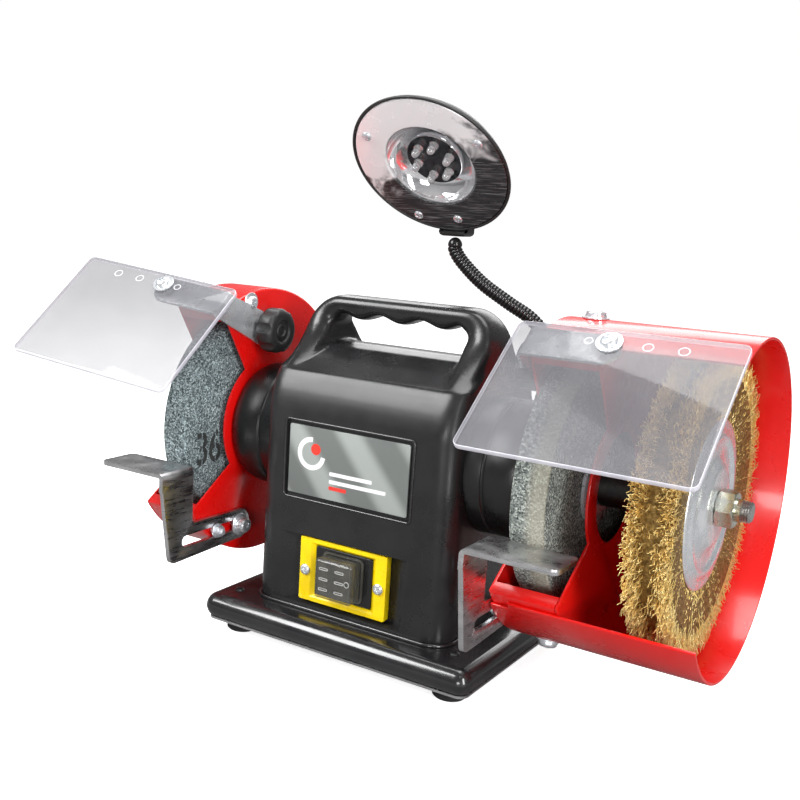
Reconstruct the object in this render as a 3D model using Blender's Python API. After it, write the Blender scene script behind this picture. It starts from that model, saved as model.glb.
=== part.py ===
"""Bench grinder: two wheel guards, one carrying a brush drum, with eye shields, tool rests and a lamp.

Lengths are in millimetres until finish() turns them into metres. The machine frame has X along the
shaft, the front at -Y, Z up, x = 0 at the middle of the motor, y = 0 at the shaft and z = 0 at the bench.
"""

import math

import bmesh
import bpy
from mathutils import Matrix, Vector

MM = 0.001
FIT = 0.3                       # gap between pieces that touch

# Base
BASE_WIDTH = 196.0
BASE_TOP, FOOT_HEIGHT, BASE_WALL = 25.4, 8.0, 2.5
BASE_CORNER = 9.0
FOOT_RADIUS, FOOT_INSET = 10.5, 20.0
BOTTOM_PLATE = 1.5

# Motor housing
HOUSING_WIDTH, HOUSING_FRONT, HOUSING_BACK = 141.0, 54.4, 62.0
HOUSING_CORNER, HOUSING_WALL = 14.0, 3.0
BASE_FRONT, BASE_BACK = HOUSING_FRONT + 20.1, HOUSING_BACK + 18.0
SHAFT_HEIGHT = 129.6
CREASE_HEIGHT = SHAFT_HEIGHT + 47.9         # where the front turns back to the handle
RIDGE_HEIGHT, HANDLE_TOP = CREASE_HEIGHT + 15.0, CREASE_HEIGHT + 45.0
HANDLE_Y, GRIP_DEPTH, GRIP_THICKNESS = 3.0, 26.0, 13.0
LEG_THICKNESS, LEG_INSET, LEG_BEND = 20.0, 2.5, 15.0
FINGER_PITCH, FINGER_WAVE = 30.0, 2.0
FITTINGS_X = -3.0               # label and switch sit this far off the middle

# Motor and shaft
STATOR_RADIUS = min(HOUSING_FRONT - 6.4, CREASE_HEIGHT - SHAFT_HEIGHT + 0.1)     # behind the front, below the ceiling
STATOR_LENGTH, ROTOR_RADIUS = 44.0, 29.5
WINDING_LENGTH = 18.0
SHAFT_RADIUS, THREAD_RADIUS, CORE_RADIUS = 7.5, 6.0, 9.0
BEARING_RADIUS, BEARING_WIDTH, BEARING_X = 17.5, 11.0, HOUSING_WIDTH / 2 + 17.5
BELL_RADIUS, BELL_WALL, BELL_END = 42.0, 3.0, BEARING_X + 18.7

# Wheels and guards
WHEEL_RADIUS, WHEEL_WIDTH, WHEEL_X = 75.0, 20.0, BELL_END + 7.8
WHEEL_FLANGE_RADIUS, FLANGE_THICKNESS = 25.0, 3.5
GUARD_RADIUS, GUARD_DEPTH, SHEET = WHEEL_RADIUS + 17.2, WHEEL_WIDTH + 18.0, 1.5
GUARD_CUT_RADIUS, LIP = 45.0, 8.0
GUARD_END = BELL_END + FIT + GUARD_DEPTH
OPEN_LOW, OPEN_HIGH = -34.0, 57.5          # open front, degrees above the forward horizontal
PLATE_HOLE, DIVIDER_HOLE = 27.0, 32.0
NUT_ACROSS, NUT_THICK = 19.0, 9.5

# Brush drum
DRUM_END, DRUM_OPEN_LOW, DRUM_OPEN_HIGH = GUARD_END + 73.5, -37.0, 63.0
BRUSH_RADIUS, BRUSH_WIDTH, BRUSH_X = GUARD_RADIUS - 6.2, 24.0, GUARD_END + 45.5
BRUSH_FLANGE_RADIUS, BRUSH_CORE_WIDTH, BRUSH_HUB = 47.5, 15.0, 12.0
SHAFT_RIGHT_END = BRUSH_X + 30.5
SCREW_HEAD, SCREW_SHANK = 5.5, 2.6

# Tool rests
REST_TOP, REST_FRONT = SHAFT_HEIGHT - 19.6, WHEEL_RADIUS + 33.0
REST_DEPTH, REST_WIDTH, REST_SHEET = 29.0, 54.0, 3.0
ARM_Z, ARM_HEIGHT, SLOT_WIDTH = SHAFT_HEIGHT - 68.1, 22.0, 7.4
REST_BOLT_Y = -31.0

# Eye shields
SHIELD_WIDTH, SHIELD_LENGTH, SHIELD_SHEET, SHIELD_TILT = 122.0, 92.0, 3.0, 39.0
SHIELD_TOP_Y, SHIELD_TOP_Z, SHIELD_X = 47.7 - GUARD_RADIUS, SHAFT_HEIGHT + 91.4, BELL_END - 7.7
LEFT_LIFT, LEFT_SWING = 6.5, 6.0    # degrees by which the left strip is bent up and forward
STRIP_WIDTH, STRIP_LENGTH, STRIP_SHEET = 21.0, 54.0, 1.8
PIVOT_Y, PIVOT_Z, PIVOT_RADIUS = -10.4, SHAFT_HEIGHT + 65.0, 11.0
KNOB_RADIUS, KNOB_LENGTH, KNOB_LOBES = 15.0, 17.0, 7

# Switch
BEZEL_WIDTH, BEZEL_HEIGHT, BEZEL_THICK, BEZEL_Z = 64.0, 41.5, 5.0, BASE_TOP + 27.1
SWITCH_WIDTH, SWITCH_HEIGHT, SWITCH_DEPTH = 42.0, 32.0, 22.0
SWITCH_RECESS_WIDTH, SWITCH_RECESS_HEIGHT, SWITCH_RECESS = 95.0, 44.0, 7.0
ROCKER_WIDTH, ROCKER_HEIGHT = 18.0, 20.0
BOOT_WIDTH, BOOT_HEIGHT, BOOT_DEPTH = 27.5, 26.0, 12.0

# Label
LABEL_WIDTH, LABEL_HEIGHT, LABEL_Z = 87.0, 44.0, SHAFT_HEIGHT - 7.1
LABEL_THICK, LABEL_RECESS = 1.2, 1.6

# Lamp
LAMP_RADIUS, LAMP_TILT = 54.0, 43.5
BOWL_RADIUS, LED_RADIUS = 31.0, 19.0
NECK_RADIUS = 4.75
NECK_STEPS = ((66.0, 10.0, 20.9), (66.0, 10.0, 30.4), (71.0, 10.0, 50.4), (69.0, 7.0, 68.4),
              (58.0, 3.0, 82.9), (41.0, 0.0, 92.9), (22.5, -2.0, 103.9), (8.0, -2.0, 115.4),
              (1.0, -2.0, 123.4), (0.0, -2.0, 128.4))
NECK_ROUTE = [(x, HOUSING_BACK + y, SHAFT_HEIGHT + z) for x, y, z in NECK_STEPS]
NECK_BEND = 5                   # the route point at which the neck bends
LAMP_CENTRE = Vector(NECK_ROUTE[-1]) + Vector((-1.0, -40.0, 47.5))
SOCKET_WIDTH, SOCKET_DEPTH, SOCKET_HEIGHT = 18.0, 8.0, 15.0


def clear_scene():
    for obj in list(bpy.data.objects):
        bpy.data.objects.remove(obj, do_unlink=True)


def material(name, colour, roughness, metallic=0.0, alpha=1.0):
    made = bpy.data.materials.new(name)
    made.use_nodes = True
    shader = made.node_tree.nodes["Principled BSDF"]
    shader.inputs["Base Color"].default_value = (*colour, 1.0)
    shader.inputs["Roughness"].default_value = roughness
    shader.inputs["Metallic"].default_value = metallic
    shader.inputs["Alpha"].default_value = alpha
    made.diffuse_color = (*colour, alpha)
    return made


def empty(name, at=(0, 0, 0), parent=None):
    """A body's frame. Its place is given in the machine frame."""
    made = bpy.data.objects.new(name, None)
    made.empty_display_size = 0.02
    bpy.context.scene.collection.objects.link(made)
    made["at"] = [float(value) for value in at]
    made.location = Vector(at) * MM
    if parent:
        made.parent = parent
        made.location -= Vector(parent["at"]) * MM
    return made


def finish(name, mesh, finish_material, body, smooth=35.0):
    """Turns a bmesh in machine millimetres into an object that hangs on its body's frame."""
    bmesh.ops.remove_doubles(mesh, verts=mesh.verts, dist=1e-4)
    bmesh.ops.recalc_face_normals(mesh, faces=mesh.faces)
    for vert in mesh.verts:
        vert.co = (vert.co - Vector(body["at"])) * MM
    data = bpy.data.meshes.new(name)
    mesh.to_mesh(data)
    mesh.free()
    data.shade_smooth()
    data.set_sharp_from_angle(angle=math.radians(smooth))
    data.materials.append(finish_material)
    made = bpy.data.objects.new(name, data)
    bpy.context.scene.collection.objects.link(made)
    made.parent = body
    return made


def ring_mesh(mesh, rings, closed=False):
    """Joins rings of equal length into a tube. A ring of one point is a pole."""
    pairs = list(zip(rings, rings[1:]))
    if closed:
        pairs.append((rings[-1], rings[0]))
    for low, high in pairs:
        count = max(len(low), len(high))
        if count == 1:
            continue
        for i in range(count):
            corners = [low[i % len(low)], low[(i + 1) % len(low)], high[(i + 1) % len(high)], high[i % len(high)]]
            corners = [v for k, v in enumerate(corners) if v not in corners[:k]]
            mesh.faces.new(corners)


def axes_of(axis):
    along = Vector(axis).normalized()
    across = along.cross(Vector((0, 0, 1)))
    if across.length < 1e-3:
        across = Vector((1, 0, 0))
    across.normalize()
    return along, across, along.cross(across)


def turned(name, profile, finish_material, body, at=(0, 0, SHAFT_HEIGHT), axis=(1, 0, 0), segments=28):
    """A closed profile of (distance along the axis, radius) turned about the axis."""
    along, across, up = axes_of(axis)
    mesh = bmesh.new()
    rings = []
    for distance, radius in profile:
        centre = Vector(at) + along * distance
        if radius == 0:
            rings.append([mesh.verts.new(centre)])
            continue
        ring = []
        for i in range(segments):
            angle = 2 * math.pi * i / segments
            ring.append(mesh.verts.new(centre + radius * (across * math.cos(angle) + up * math.sin(angle))))
        rings.append(ring)
    ring_mesh(mesh, rings, closed=profile[0][1] != 0 or profile[-1][1] != 0)
    return finish(name, mesh, finish_material, body)


def prism_mesh(outline, axis, low, high):
    """An outline extruded along X, Y or Z. Its points are the other two coordinates in order."""
    def point(a, b, c):
        return {"X": (c, a, b), "Y": (a, c, b), "Z": (a, b, c)}[axis]
    mesh = bmesh.new()
    face = mesh.faces.new([mesh.verts.new(point(a, b, low)) for a, b in outline])
    grown = bmesh.ops.extrude_face_region(mesh, geom=[face])
    moved = [item for item in grown["geom"] if isinstance(item, bmesh.types.BMVert)]
    bmesh.ops.translate(mesh, verts=moved, vec=Vector(point(0, 0, high - low)))
    return mesh


def prism(name, outline, axis, low, high, finish_material, body, smooth=35.0):
    return finish(name, prism_mesh(outline, axis, low, high), finish_material, body, smooth)


def box(name, low, high, finish_material, body, bevel=0.0):
    mesh = prism_mesh(rectangle(low[0], high[0], low[1], high[1]), "Z", low[2], high[2])
    if bevel:
        bmesh.ops.bevel(mesh, geom=mesh.edges[:], offset=bevel, segments=2, profile=0.5, affect="EDGES")
    return finish(name, mesh, finish_material, body)


def rectangle(a0, a1, b0, b1):
    return [(a0, b0), (a1, b0), (a1, b1), (a0, b1)]


def rounded_rectangle(a0, a1, b0, b1, radius, steps=4):
    points = []
    centres = [(a1 - radius, b0 + radius, -90), (a1 - radius, b1 - radius, 0),
               (a0 + radius, b1 - radius, 90), (a0 + radius, b0 + radius, 180)]
    for ca, cb, start in centres:
        for i in range(steps + 1):
            angle = math.radians(start + 90 * i / steps)
            points.append((ca + radius * math.cos(angle), cb + radius * math.sin(angle)))
    return points


def loft(name, loops, finish_material, body, smooth=35.0):
    """Closed loops of 3-D points joined in order, with the first and last one capped."""
    mesh = bmesh.new()
    rings = [[mesh.verts.new(point) for point in loop] for loop in loops]
    ring_mesh(mesh, rings)
    mesh.faces.new(rings[0])
    mesh.faces.new(rings[-1])
    return finish(name, mesh, finish_material, body, smooth)


def helper(obj):
    obj.hide_render = True
    obj.display_type = "WIRE"
    return obj


def boolean(target, tool, operation="DIFFERENCE"):
    helper(tool)
    step = target.modifiers.new(tool.name, "BOOLEAN")
    step.operation = operation
    step.solver = "EXACT"
    step.object = tool


def hole(target, name, axis, centre, radius, low, high, body, segments=20):
    """A round hole through the target between two places on its axis."""
    direction = {"X": (1, 0, 0), "Y": (0, 1, 0), "Z": (0, 0, 1)}[axis]
    at = {"X": (0, *centre), "Y": (centre[0], 0, centre[1]), "Z": (*centre, 0)}[axis]
    profile = [(low, 0), (low, radius), (high, radius), (high, 0)]
    boolean(target, turned(name, profile, target.data.materials[0], body, at, direction, segments))


def on_guard(radius, angle):
    """(y, z) at this radius from the shaft, with the angle in degrees above the forward horizontal."""
    turn = math.radians(angle)
    return (-radius * math.cos(turn), SHAFT_HEIGHT + radius * math.sin(turn))


def arc(radius, start, end, steps):
    return [on_guard(radius, start + (end - start) * i / steps) for i in range(steps + 1)]


def smooth_route(points, steps):
    """A curve through the points, as a list that keeps each of them."""
    route = [Vector(point) for point in points]
    ends = [2 * route[0] - route[1], *route, 2 * route[-1] - route[-2]]
    curve = []
    for before, start, end, after in zip(ends, ends[1:], ends[2:], ends[3:]):
        for i in range(steps):
            t = i / steps
            curve.append(0.5 * (2 * start + (end - before) * t
                                + (2 * before - 5 * start + 4 * end - after) * t ** 2
                                + (3 * start - before - 3 * end + after) * t ** 3))
    return curve + [route[-1]]


def tube(name, path, radius, finish_material, body, round_ends=False, sides=8):
    """A solid round bar along a path. Round ends are half balls centred on the first and last points."""
    mesh = bmesh.new()
    rings = []
    heading = (path[1] - path[0]).normalized()
    side = heading.cross(Vector((0, 1, 0))).normalized()

    def ring(centre, reach):
        up = heading.cross(side)
        turns = [2 * math.pi * i / sides for i in range(sides)]
        return [mesh.verts.new(centre + reach * (side * math.cos(a) + up * math.sin(a))) for a in turns]

    cap = [math.radians(angle) for angle in (30.0, 60.0)] if round_ends else []
    tip = radius if round_ends else 0.0
    rings.append([mesh.verts.new(path[0] - heading * tip)])
    rings += [ring(path[0] - heading * radius * math.cos(turn), radius * math.sin(turn)) for turn in cap]
    for i, point in enumerate(path):
        ahead = path[min(i + 1, len(path) - 1)] - path[max(i - 1, 0)]
        heading = ahead.normalized()
        side = (side - heading * side.dot(heading)).normalized()
        rings.append(ring(point, radius))
    rings += [ring(path[-1] + heading * radius * math.cos(turn), radius * math.sin(turn)) for turn in reversed(cap)]
    rings.append([mesh.verts.new(path[-1] + heading * tip)])
    ring_mesh(mesh, rings)
    return finish(name, mesh, finish_material, body)


def mirrored(side, low, high):
    """A stretch along X on the right side, or its mirror image on the left."""
    return (low, high) if side > 0 else (-high, -low)


def build_base(body, paint, rubber, steel):
    half = BASE_WIDTH / 2
    outline = rounded_rectangle(-half, half, -BASE_FRONT, BASE_BACK, BASE_CORNER)
    mesh = prism_mesh(outline, "Z", FOOT_HEIGHT, BASE_TOP)
    top = [edge for edge in mesh.edges if all(v.co.z > BASE_TOP - 0.1 for v in edge.verts)]
    bmesh.ops.bevel(mesh, geom=top, offset=3.0, segments=3, profile=0.5, affect="EDGES")
    pan = finish("base_pan", mesh, paint, body)
    inner = rounded_rectangle(-half + BASE_WALL, half - BASE_WALL, -BASE_FRONT + BASE_WALL,
                              BASE_BACK - BASE_WALL, BASE_CORNER - BASE_WALL)
    boolean(pan, prism("base_pan_hollow", inner, "Z", FOOT_HEIGHT - 5, BASE_TOP - BASE_WALL, paint, body))
    gap = BASE_WALL + FIT
    plate = rounded_rectangle(-half + gap, half - gap, -BASE_FRONT + gap, BASE_BACK - gap, BASE_CORNER - gap)
    prism("bottom_plate", plate, "Z", FOOT_HEIGHT + FIT, FOOT_HEIGHT + FIT + BOTTOM_PLATE, steel, body)
    for name, x, y in (("front_left", -1, -BASE_FRONT + FOOT_INSET), ("front_right", 1, -BASE_FRONT + FOOT_INSET),
                       ("back_left", -1, BASE_BACK - FOOT_INSET), ("back_right", 1, BASE_BACK - FOOT_INSET)):
        profile = [(0, 0), (0, FOOT_RADIUS - 1.5), (1.5, FOOT_RADIUS), (FOOT_HEIGHT, FOOT_RADIUS), (FOOT_HEIGHT, 0)]
        turned(f"foot_{name}", profile, rubber, body, (x * (half - FOOT_INSET), y, 0), (0, 0, 1), 24)


def housing_loop(z, half_width, front, back, corner):
    return [(x, y, z) for x, y in rounded_rectangle(-half_width, half_width, -front, back, corner)]


def handle_loops():
    """Cross-sections of the carrying handle, from inside the left shoulder over to the right one."""
    leg_x = HOUSING_WIDTH / 2 - LEG_INSET - LEG_THICKNESS / 2
    grip_z = HANDLE_TOP - GRIP_THICKNESS / 2
    stations = []
    for z in (CREASE_HEIGHT - 12, CREASE_HEIGHT - 4, CREASE_HEIGHT + 2, CREASE_HEIGHT + 9,
              CREASE_HEIGHT + 16, CREASE_HEIGHT + 22):
        stations.append((Vector((-leg_x, 0, z)), 90.0))
    for angle in (72.0, 54.0, 36.0, 18.0, 0.0):
        turn = math.radians(angle)
        bend = Vector((-math.sin(turn), 0, math.cos(turn))) * LEG_BEND
        centre = Vector((-leg_x + LEG_BEND, 0, grip_z - LEG_BEND))
        stations.append((centre + bend, angle))
    flat = leg_x - LEG_BEND
    straight = [(Vector((-flat + 2 * flat * i / 18, 0, grip_z)), 0.0) for i in range(1, 18)]
    right = [(Vector((-place.x, 0, place.z)), -angle) for place, angle in reversed(stations)]
    loops = []
    for place, angle in stations + straight + right:
        rise = max(0.0, min(1.0, (place.z - CREASE_HEIGHT) / (grip_z - CREASE_HEIGHT)))
        foot_depth = (HOUSING_FRONT + HOUSING_BACK) / 2 - 11.0
        half_depth = GRIP_DEPTH / 2 + (foot_depth - GRIP_DEPTH / 2) * (1 - rise) ** 1.7
        middle = HANDLE_Y + ((HOUSING_BACK - HOUSING_FRONT) / 2 - HANDLE_Y) * (1 - rise)
        lean = abs(angle) / 90
        outside = (LEG_THICKNESS * lean + GRIP_THICKNESS * (1 - lean)) / 2
        inside = outside
        if angle == 0.0:
            inside += FINGER_WAVE * math.cos(2 * math.pi * place.x / FINGER_PITCH)
        turn = math.radians(angle)
        out = Vector((-math.sin(turn), 0, math.cos(turn)))
        loop = []
        for i in range(16):
            sweep = 2 * math.pi * (i + 0.5) / 16
            a, b = math.cos(sweep), math.sin(sweep)
            squareness = max(abs(a), abs(b)) ** 0.55
            reach = outside if a > 0 else inside
            loop.append(place + Vector((0, middle, 0)) + out * (a / squareness * reach)
                        + Vector((0, b / squareness * half_depth, 0)))
        loops.append(loop)
    return loops


def build_housing(body, plastic):
    half = HOUSING_WIDTH / 2
    front, back, corner = HOUSING_FRONT, HOUSING_BACK, HOUSING_CORNER
    low = BASE_TOP + FIT
    middle = (HOUSING_BACK - HOUSING_FRONT) / 2
    loops = [housing_loop(low, half, front, back, corner),
             housing_loop(CREASE_HEIGHT - 32, half - 0.6, front - 0.8, back - 0.8, corner),
             housing_loop(CREASE_HEIGHT - 16, half - 0.9, front - 2.6, back - 2.6, corner),
             housing_loop(CREASE_HEIGHT - 6, half - 1.2, front - 6.0, back - 6.0, corner - 2),
             housing_loop(CREASE_HEIGHT, half - 1.6, front - 10.5, back - 10.5, corner - 4),
             housing_loop(CREASE_HEIGHT + 7, half - 2.2, front - 27.0, back - 27.0, corner - 6),
             housing_loop(RIDGE_HEIGHT - 2, half - 3.0, front - 42.0, back - 42.0, corner - 9),
             housing_loop(RIDGE_HEIGHT, half - 4.0, 5.0 - middle, 5.0 + middle, 3.0)]
    shell = loft("motor_housing", loops, plastic, body, 50.0)
    boolean(shell, loft("handle_form", handle_loops(), plastic, body), "UNION")
    wall = HOUSING_WALL
    switch_floor = front - SWITCH_RECESS - wall
    step_z = BEZEL_Z + SWITCH_RECESS_HEIGHT / 2 + wall
    hollow = [housing_loop(low - 6, half - wall, switch_floor, back - wall, corner - wall),
              housing_loop(step_z, half - wall, switch_floor, back - wall, corner - wall),
              housing_loop(step_z + 3, half - wall, front - wall - 0.8, back - wall, corner - wall),
              housing_loop(CREASE_HEIGHT - 30, half - wall - 0.8, front - wall - 1.2, back - wall - 1.2, corner - 3),
              housing_loop(CREASE_HEIGHT - 14, half - wall - 1.2, front - wall - 5, back - wall - 5, corner - 3),
              housing_loop(CREASE_HEIGHT - 1, half - wall - 2, front - wall - 17, back - wall - 17, corner - 6),
              housing_loop(RIDGE_HEIGHT - 5, half - wall - 3, front - wall - 34, back - wall - 34, corner - 9)]
    boolean(shell, loft("housing_hollow", hollow, plastic, body))
    for side, name in ((-1, "left"), (1, "right")):
        span = mirrored(side, half - 12, half + 8)
        hole(shell, f"bell_hole_{name}", "X", (0, SHAFT_HEIGHT), BELL_RADIUS + FIT, *span, body, 28)
    x0, x1 = FITTINGS_X - LABEL_WIDTH / 2 - 5, FITTINGS_X + LABEL_WIDTH / 2 + 5
    label = rounded_rectangle(x0, x1, LABEL_Z - LABEL_HEIGHT / 2 - 3.5, LABEL_Z + LABEL_HEIGHT / 2 + 3.5, 3.0, 2)
    floor = -HOUSING_FRONT + 0.5 + LABEL_RECESS
    boolean(shell, prism("label_recess", label, "Y", -HOUSING_FRONT - 8, floor, plastic, body))
    x0, x1 = FITTINGS_X - SWITCH_RECESS_WIDTH / 2, FITTINGS_X + SWITCH_RECESS_WIDTH / 2
    z0, z1 = BEZEL_Z - SWITCH_RECESS_HEIGHT / 2, BEZEL_Z + SWITCH_RECESS_HEIGHT / 2
    taper = [(x0, z1), (x0 + 3, z0), (x1 - 3, z0), (x1, z1)]
    boolean(shell, prism("switch_recess", taper, "Y", -front - 8, -front + SWITCH_RECESS, plastic, body))
    opening = box_span(FITTINGS_X, BEZEL_Z, SWITCH_WIDTH + 2 * FIT, SWITCH_HEIGHT + 2 * FIT)
    boolean(shell, prism("switch_opening", rectangle(*opening), "Y", -front, -front + 14, plastic, body))


def box_span(x, z, width, height):
    return x - width / 2, x + width / 2, z - height / 2, z + height / 2


def build_switch(body, rocker_body, yellow, black, clear):
    floor = -HOUSING_FRONT + SWITCH_RECESS - FIT
    face = floor - BEZEL_THICK
    outer = rounded_rectangle(*box_span(FITTINGS_X, BEZEL_Z, BEZEL_WIDTH, BEZEL_HEIGHT), 4.0, 3)
    bezel = prism("switch_bezel", outer, "Y", face, floor, yellow, body)
    opening = box_span(FITTINGS_X, BEZEL_Z, SWITCH_WIDTH + 2 * FIT, SWITCH_HEIGHT + 2 * FIT)
    boolean(bezel, prism("bezel_opening", rectangle(*opening), "Y", face - 3, floor + 3, yellow, body))
    span = box_span(FITTINGS_X, BEZEL_Z, SWITCH_WIDTH, SWITCH_HEIGHT)
    switch = prism("switch_body", rounded_rectangle(*span, 2.0, 2), "Y", face + 1.5,
                   face + 1.5 + SWITCH_DEPTH, black, body)
    pocket = box_span(FITTINGS_X, BEZEL_Z, ROCKER_WIDTH + 2, ROCKER_HEIGHT + 2)
    boolean(switch, prism("rocker_pocket", rectangle(*pocket), "Y", face - 3, face + 12, black, body))
    pivot_y = rocker_body["at"][1]
    half = ROCKER_HEIGHT / 2
    side = [(pivot_y - 7.0, BEZEL_Z + half - 1), (pivot_y - 5.4, BEZEL_Z), (pivot_y - 3.6, BEZEL_Z - half + 1),
            (pivot_y + 1, BEZEL_Z - half + 1.5), (pivot_y + 4, BEZEL_Z), (pivot_y + 1, BEZEL_Z + half - 1.5)]
    span = (FITTINGS_X - ROCKER_WIDTH / 2, FITTINGS_X + ROCKER_WIDTH / 2)
    prism("switch_rocker", side, "X", *span, black, rocker_body)
    front = face + 1.5 - FIT
    cover = rounded_rectangle(*box_span(FITTINGS_X, BEZEL_Z, BOOT_WIDTH, BOOT_HEIGHT), 3.0, 3)
    boot = prism("switch_boot", cover, "Y", front - BOOT_DEPTH, front, clear, body)
    inside = rounded_rectangle(*box_span(FITTINGS_X, BEZEL_Z, BOOT_WIDTH - 3, BOOT_HEIGHT - 3), 2.0, 3)
    boolean(boot, prism("boot_hollow", inside, "Y", front - BOOT_DEPTH + 1.5, front + 3, clear, body))


def build_motor(body, rotor, cast, lamination, copper, steel, black):
    for side, name in ((-1, "left"), (1, "right")):
        inner = HOUSING_WIDTH / 2 - HOUSING_WALL - FIT
        seat = BEARING_X + BEARING_WIDTH + FIT
        bell = [(inner - 5, BELL_RADIUS + 2), (inner - 2, BELL_RADIUS + 2), (inner - 2, BELL_RADIUS),
                (BELL_END - 10.7, BELL_RADIUS), (BELL_END - 2.7, BELL_RADIUS - 2), (BELL_END, BELL_RADIUS - 5),
                (BELL_END, SHAFT_RADIUS + 2), (seat, SHAFT_RADIUS + 2), (seat, BEARING_RADIUS + FIT),
                (BEARING_X - 2, BEARING_RADIUS + FIT), (BEARING_X - 2, BEARING_RADIUS + 4),
                (BELL_END - BELL_WALL - 0.7, BEARING_RADIUS + 4), (BELL_END - BELL_WALL - 0.7, BELL_RADIUS - 7),
                (BELL_END - 9.7, BELL_RADIUS - BELL_WALL), (inner - 5, BELL_RADIUS - BELL_WALL)]
        turned(f"end_bell_{name}", [(side * along, radius) for along, radius in bell], cast, body, segments=24)
        race = [(BEARING_X, SHAFT_RADIUS + FIT), (BEARING_X, BEARING_RADIUS),
                (BEARING_X + BEARING_WIDTH, BEARING_RADIUS), (BEARING_X + BEARING_WIDTH, SHAFT_RADIUS + FIT)]
        turned(f"bearing_{name}", [(side * along, radius) for along, radius in race], steel, body, segments=24)
        start = STATOR_LENGTH / 2 + FIT
        shoulder = start + WINDING_LENGTH * 0.7
        coil = [(start, ROTOR_RADIUS + 3), (start, STATOR_RADIUS - 3), (shoulder, STATOR_RADIUS - 3),
                (start + WINDING_LENGTH, STATOR_RADIUS - 7), (start + WINDING_LENGTH, ROTOR_RADIUS + 6),
                (shoulder, ROTOR_RADIUS + 3)]
        turned(f"winding_{name}", [(side * along, radius) for along, radius in coil], copper, body, segments=24)
    half = STATOR_LENGTH / 2
    core = [(-half, ROTOR_RADIUS + 0.5), (-half, STATOR_RADIUS), (half, STATOR_RADIUS), (half, ROTOR_RADIUS + 0.5)]
    turned("stator_core", core, lamination, body)
    core = [(-half, CORE_RADIUS + FIT), (-half, ROTOR_RADIUS), (half, ROTOR_RADIUS), (half, CORE_RADIUS + FIT)]
    turned("rotor_core", core, lamination, rotor)
    can = [(-26, 0), (-26, 13), (-25, 14), (25, 14), (26, 13), (26, 0)]
    turned("capacitor", can, black, body, (-30, 25, BASE_TOP + 18), segments=24)


def wheel_x(step):
    """Right-hand places along the shaft: 0 wheel inside, 1 wheel outside, 2 flange outside."""
    return (WHEEL_X, WHEEL_X + WHEEL_WIDTH, WHEEL_X + WHEEL_WIDTH + FIT + FLANGE_THICKNESS)[step]


def build_rotor(rotor, steel, grit, zinc, brass):
    shoulder = WHEEL_X - FIT - FLANGE_THICKNESS - FIT
    left_end = wheel_x(2) + FIT + NUT_THICK * 0.6 + 0.5
    core_end = STATOR_LENGTH / 2 + WINDING_LENGTH
    bar = [(-left_end, 0), (-left_end, THREAD_RADIUS), (-shoulder, THREAD_RADIUS), (-shoulder, SHAFT_RADIUS),
           (-core_end, SHAFT_RADIUS), (-core_end, CORE_RADIUS), (core_end, CORE_RADIUS), (core_end, SHAFT_RADIUS),
           (shoulder, SHAFT_RADIUS), (shoulder, THREAD_RADIUS), (SHAFT_RIGHT_END, THREAD_RADIUS), (SHAFT_RIGHT_END, 0)]
    turned("shaft", bar, steel, rotor, segments=24)
    bore = THREAD_RADIUS + FIT
    for side, name in ((-1, "left"), (1, "right")):
        wheel = [(wheel_x(0), bore), (wheel_x(0), WHEEL_RADIUS - 1), (wheel_x(0) + 1, WHEEL_RADIUS),
                 (wheel_x(1) - 1, WHEEL_RADIUS), (wheel_x(1), WHEEL_RADIUS - 1), (wheel_x(1), bore)]
        turned(f"wheel_{name}", [(side * a, r) for a, r in wheel], grit, rotor, segments=36)
        for place, start in (("inner", wheel_x(0) - FIT - FLANGE_THICKNESS), ("outer", wheel_x(1) + FIT)):
            disc = [(start, bore), (start, WHEEL_FLANGE_RADIUS), (start + FLANGE_THICKNESS, WHEEL_FLANGE_RADIUS),
                    (start + FLANGE_THICKNESS, bore)]
            turned(f"flange_{name}_{place}", [(side * a, r) for a, r in disc], zinc, rotor, segments=24)
    nut("nut_left", -wheel_x(2) - FIT - NUT_THICK * 0.6, -wheel_x(2) - FIT, zinc, rotor)
    build_brush(rotor, bore, zinc, brass)


def nut(name, low, high, finish_material, body):
    corners = NUT_ACROSS / math.sqrt(3)
    profile = [(low, 0), (low, corners - 1), (low + 1, corners), (high - 1, corners), (high, corners - 1), (high, 0)]
    made = turned(name, profile, finish_material, body, segments=6)
    hole(made, f"{name}_thread", "X", (0, SHAFT_HEIGHT), THREAD_RADIUS + FIT, low - 3, high + 3, body, 24)


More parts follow.
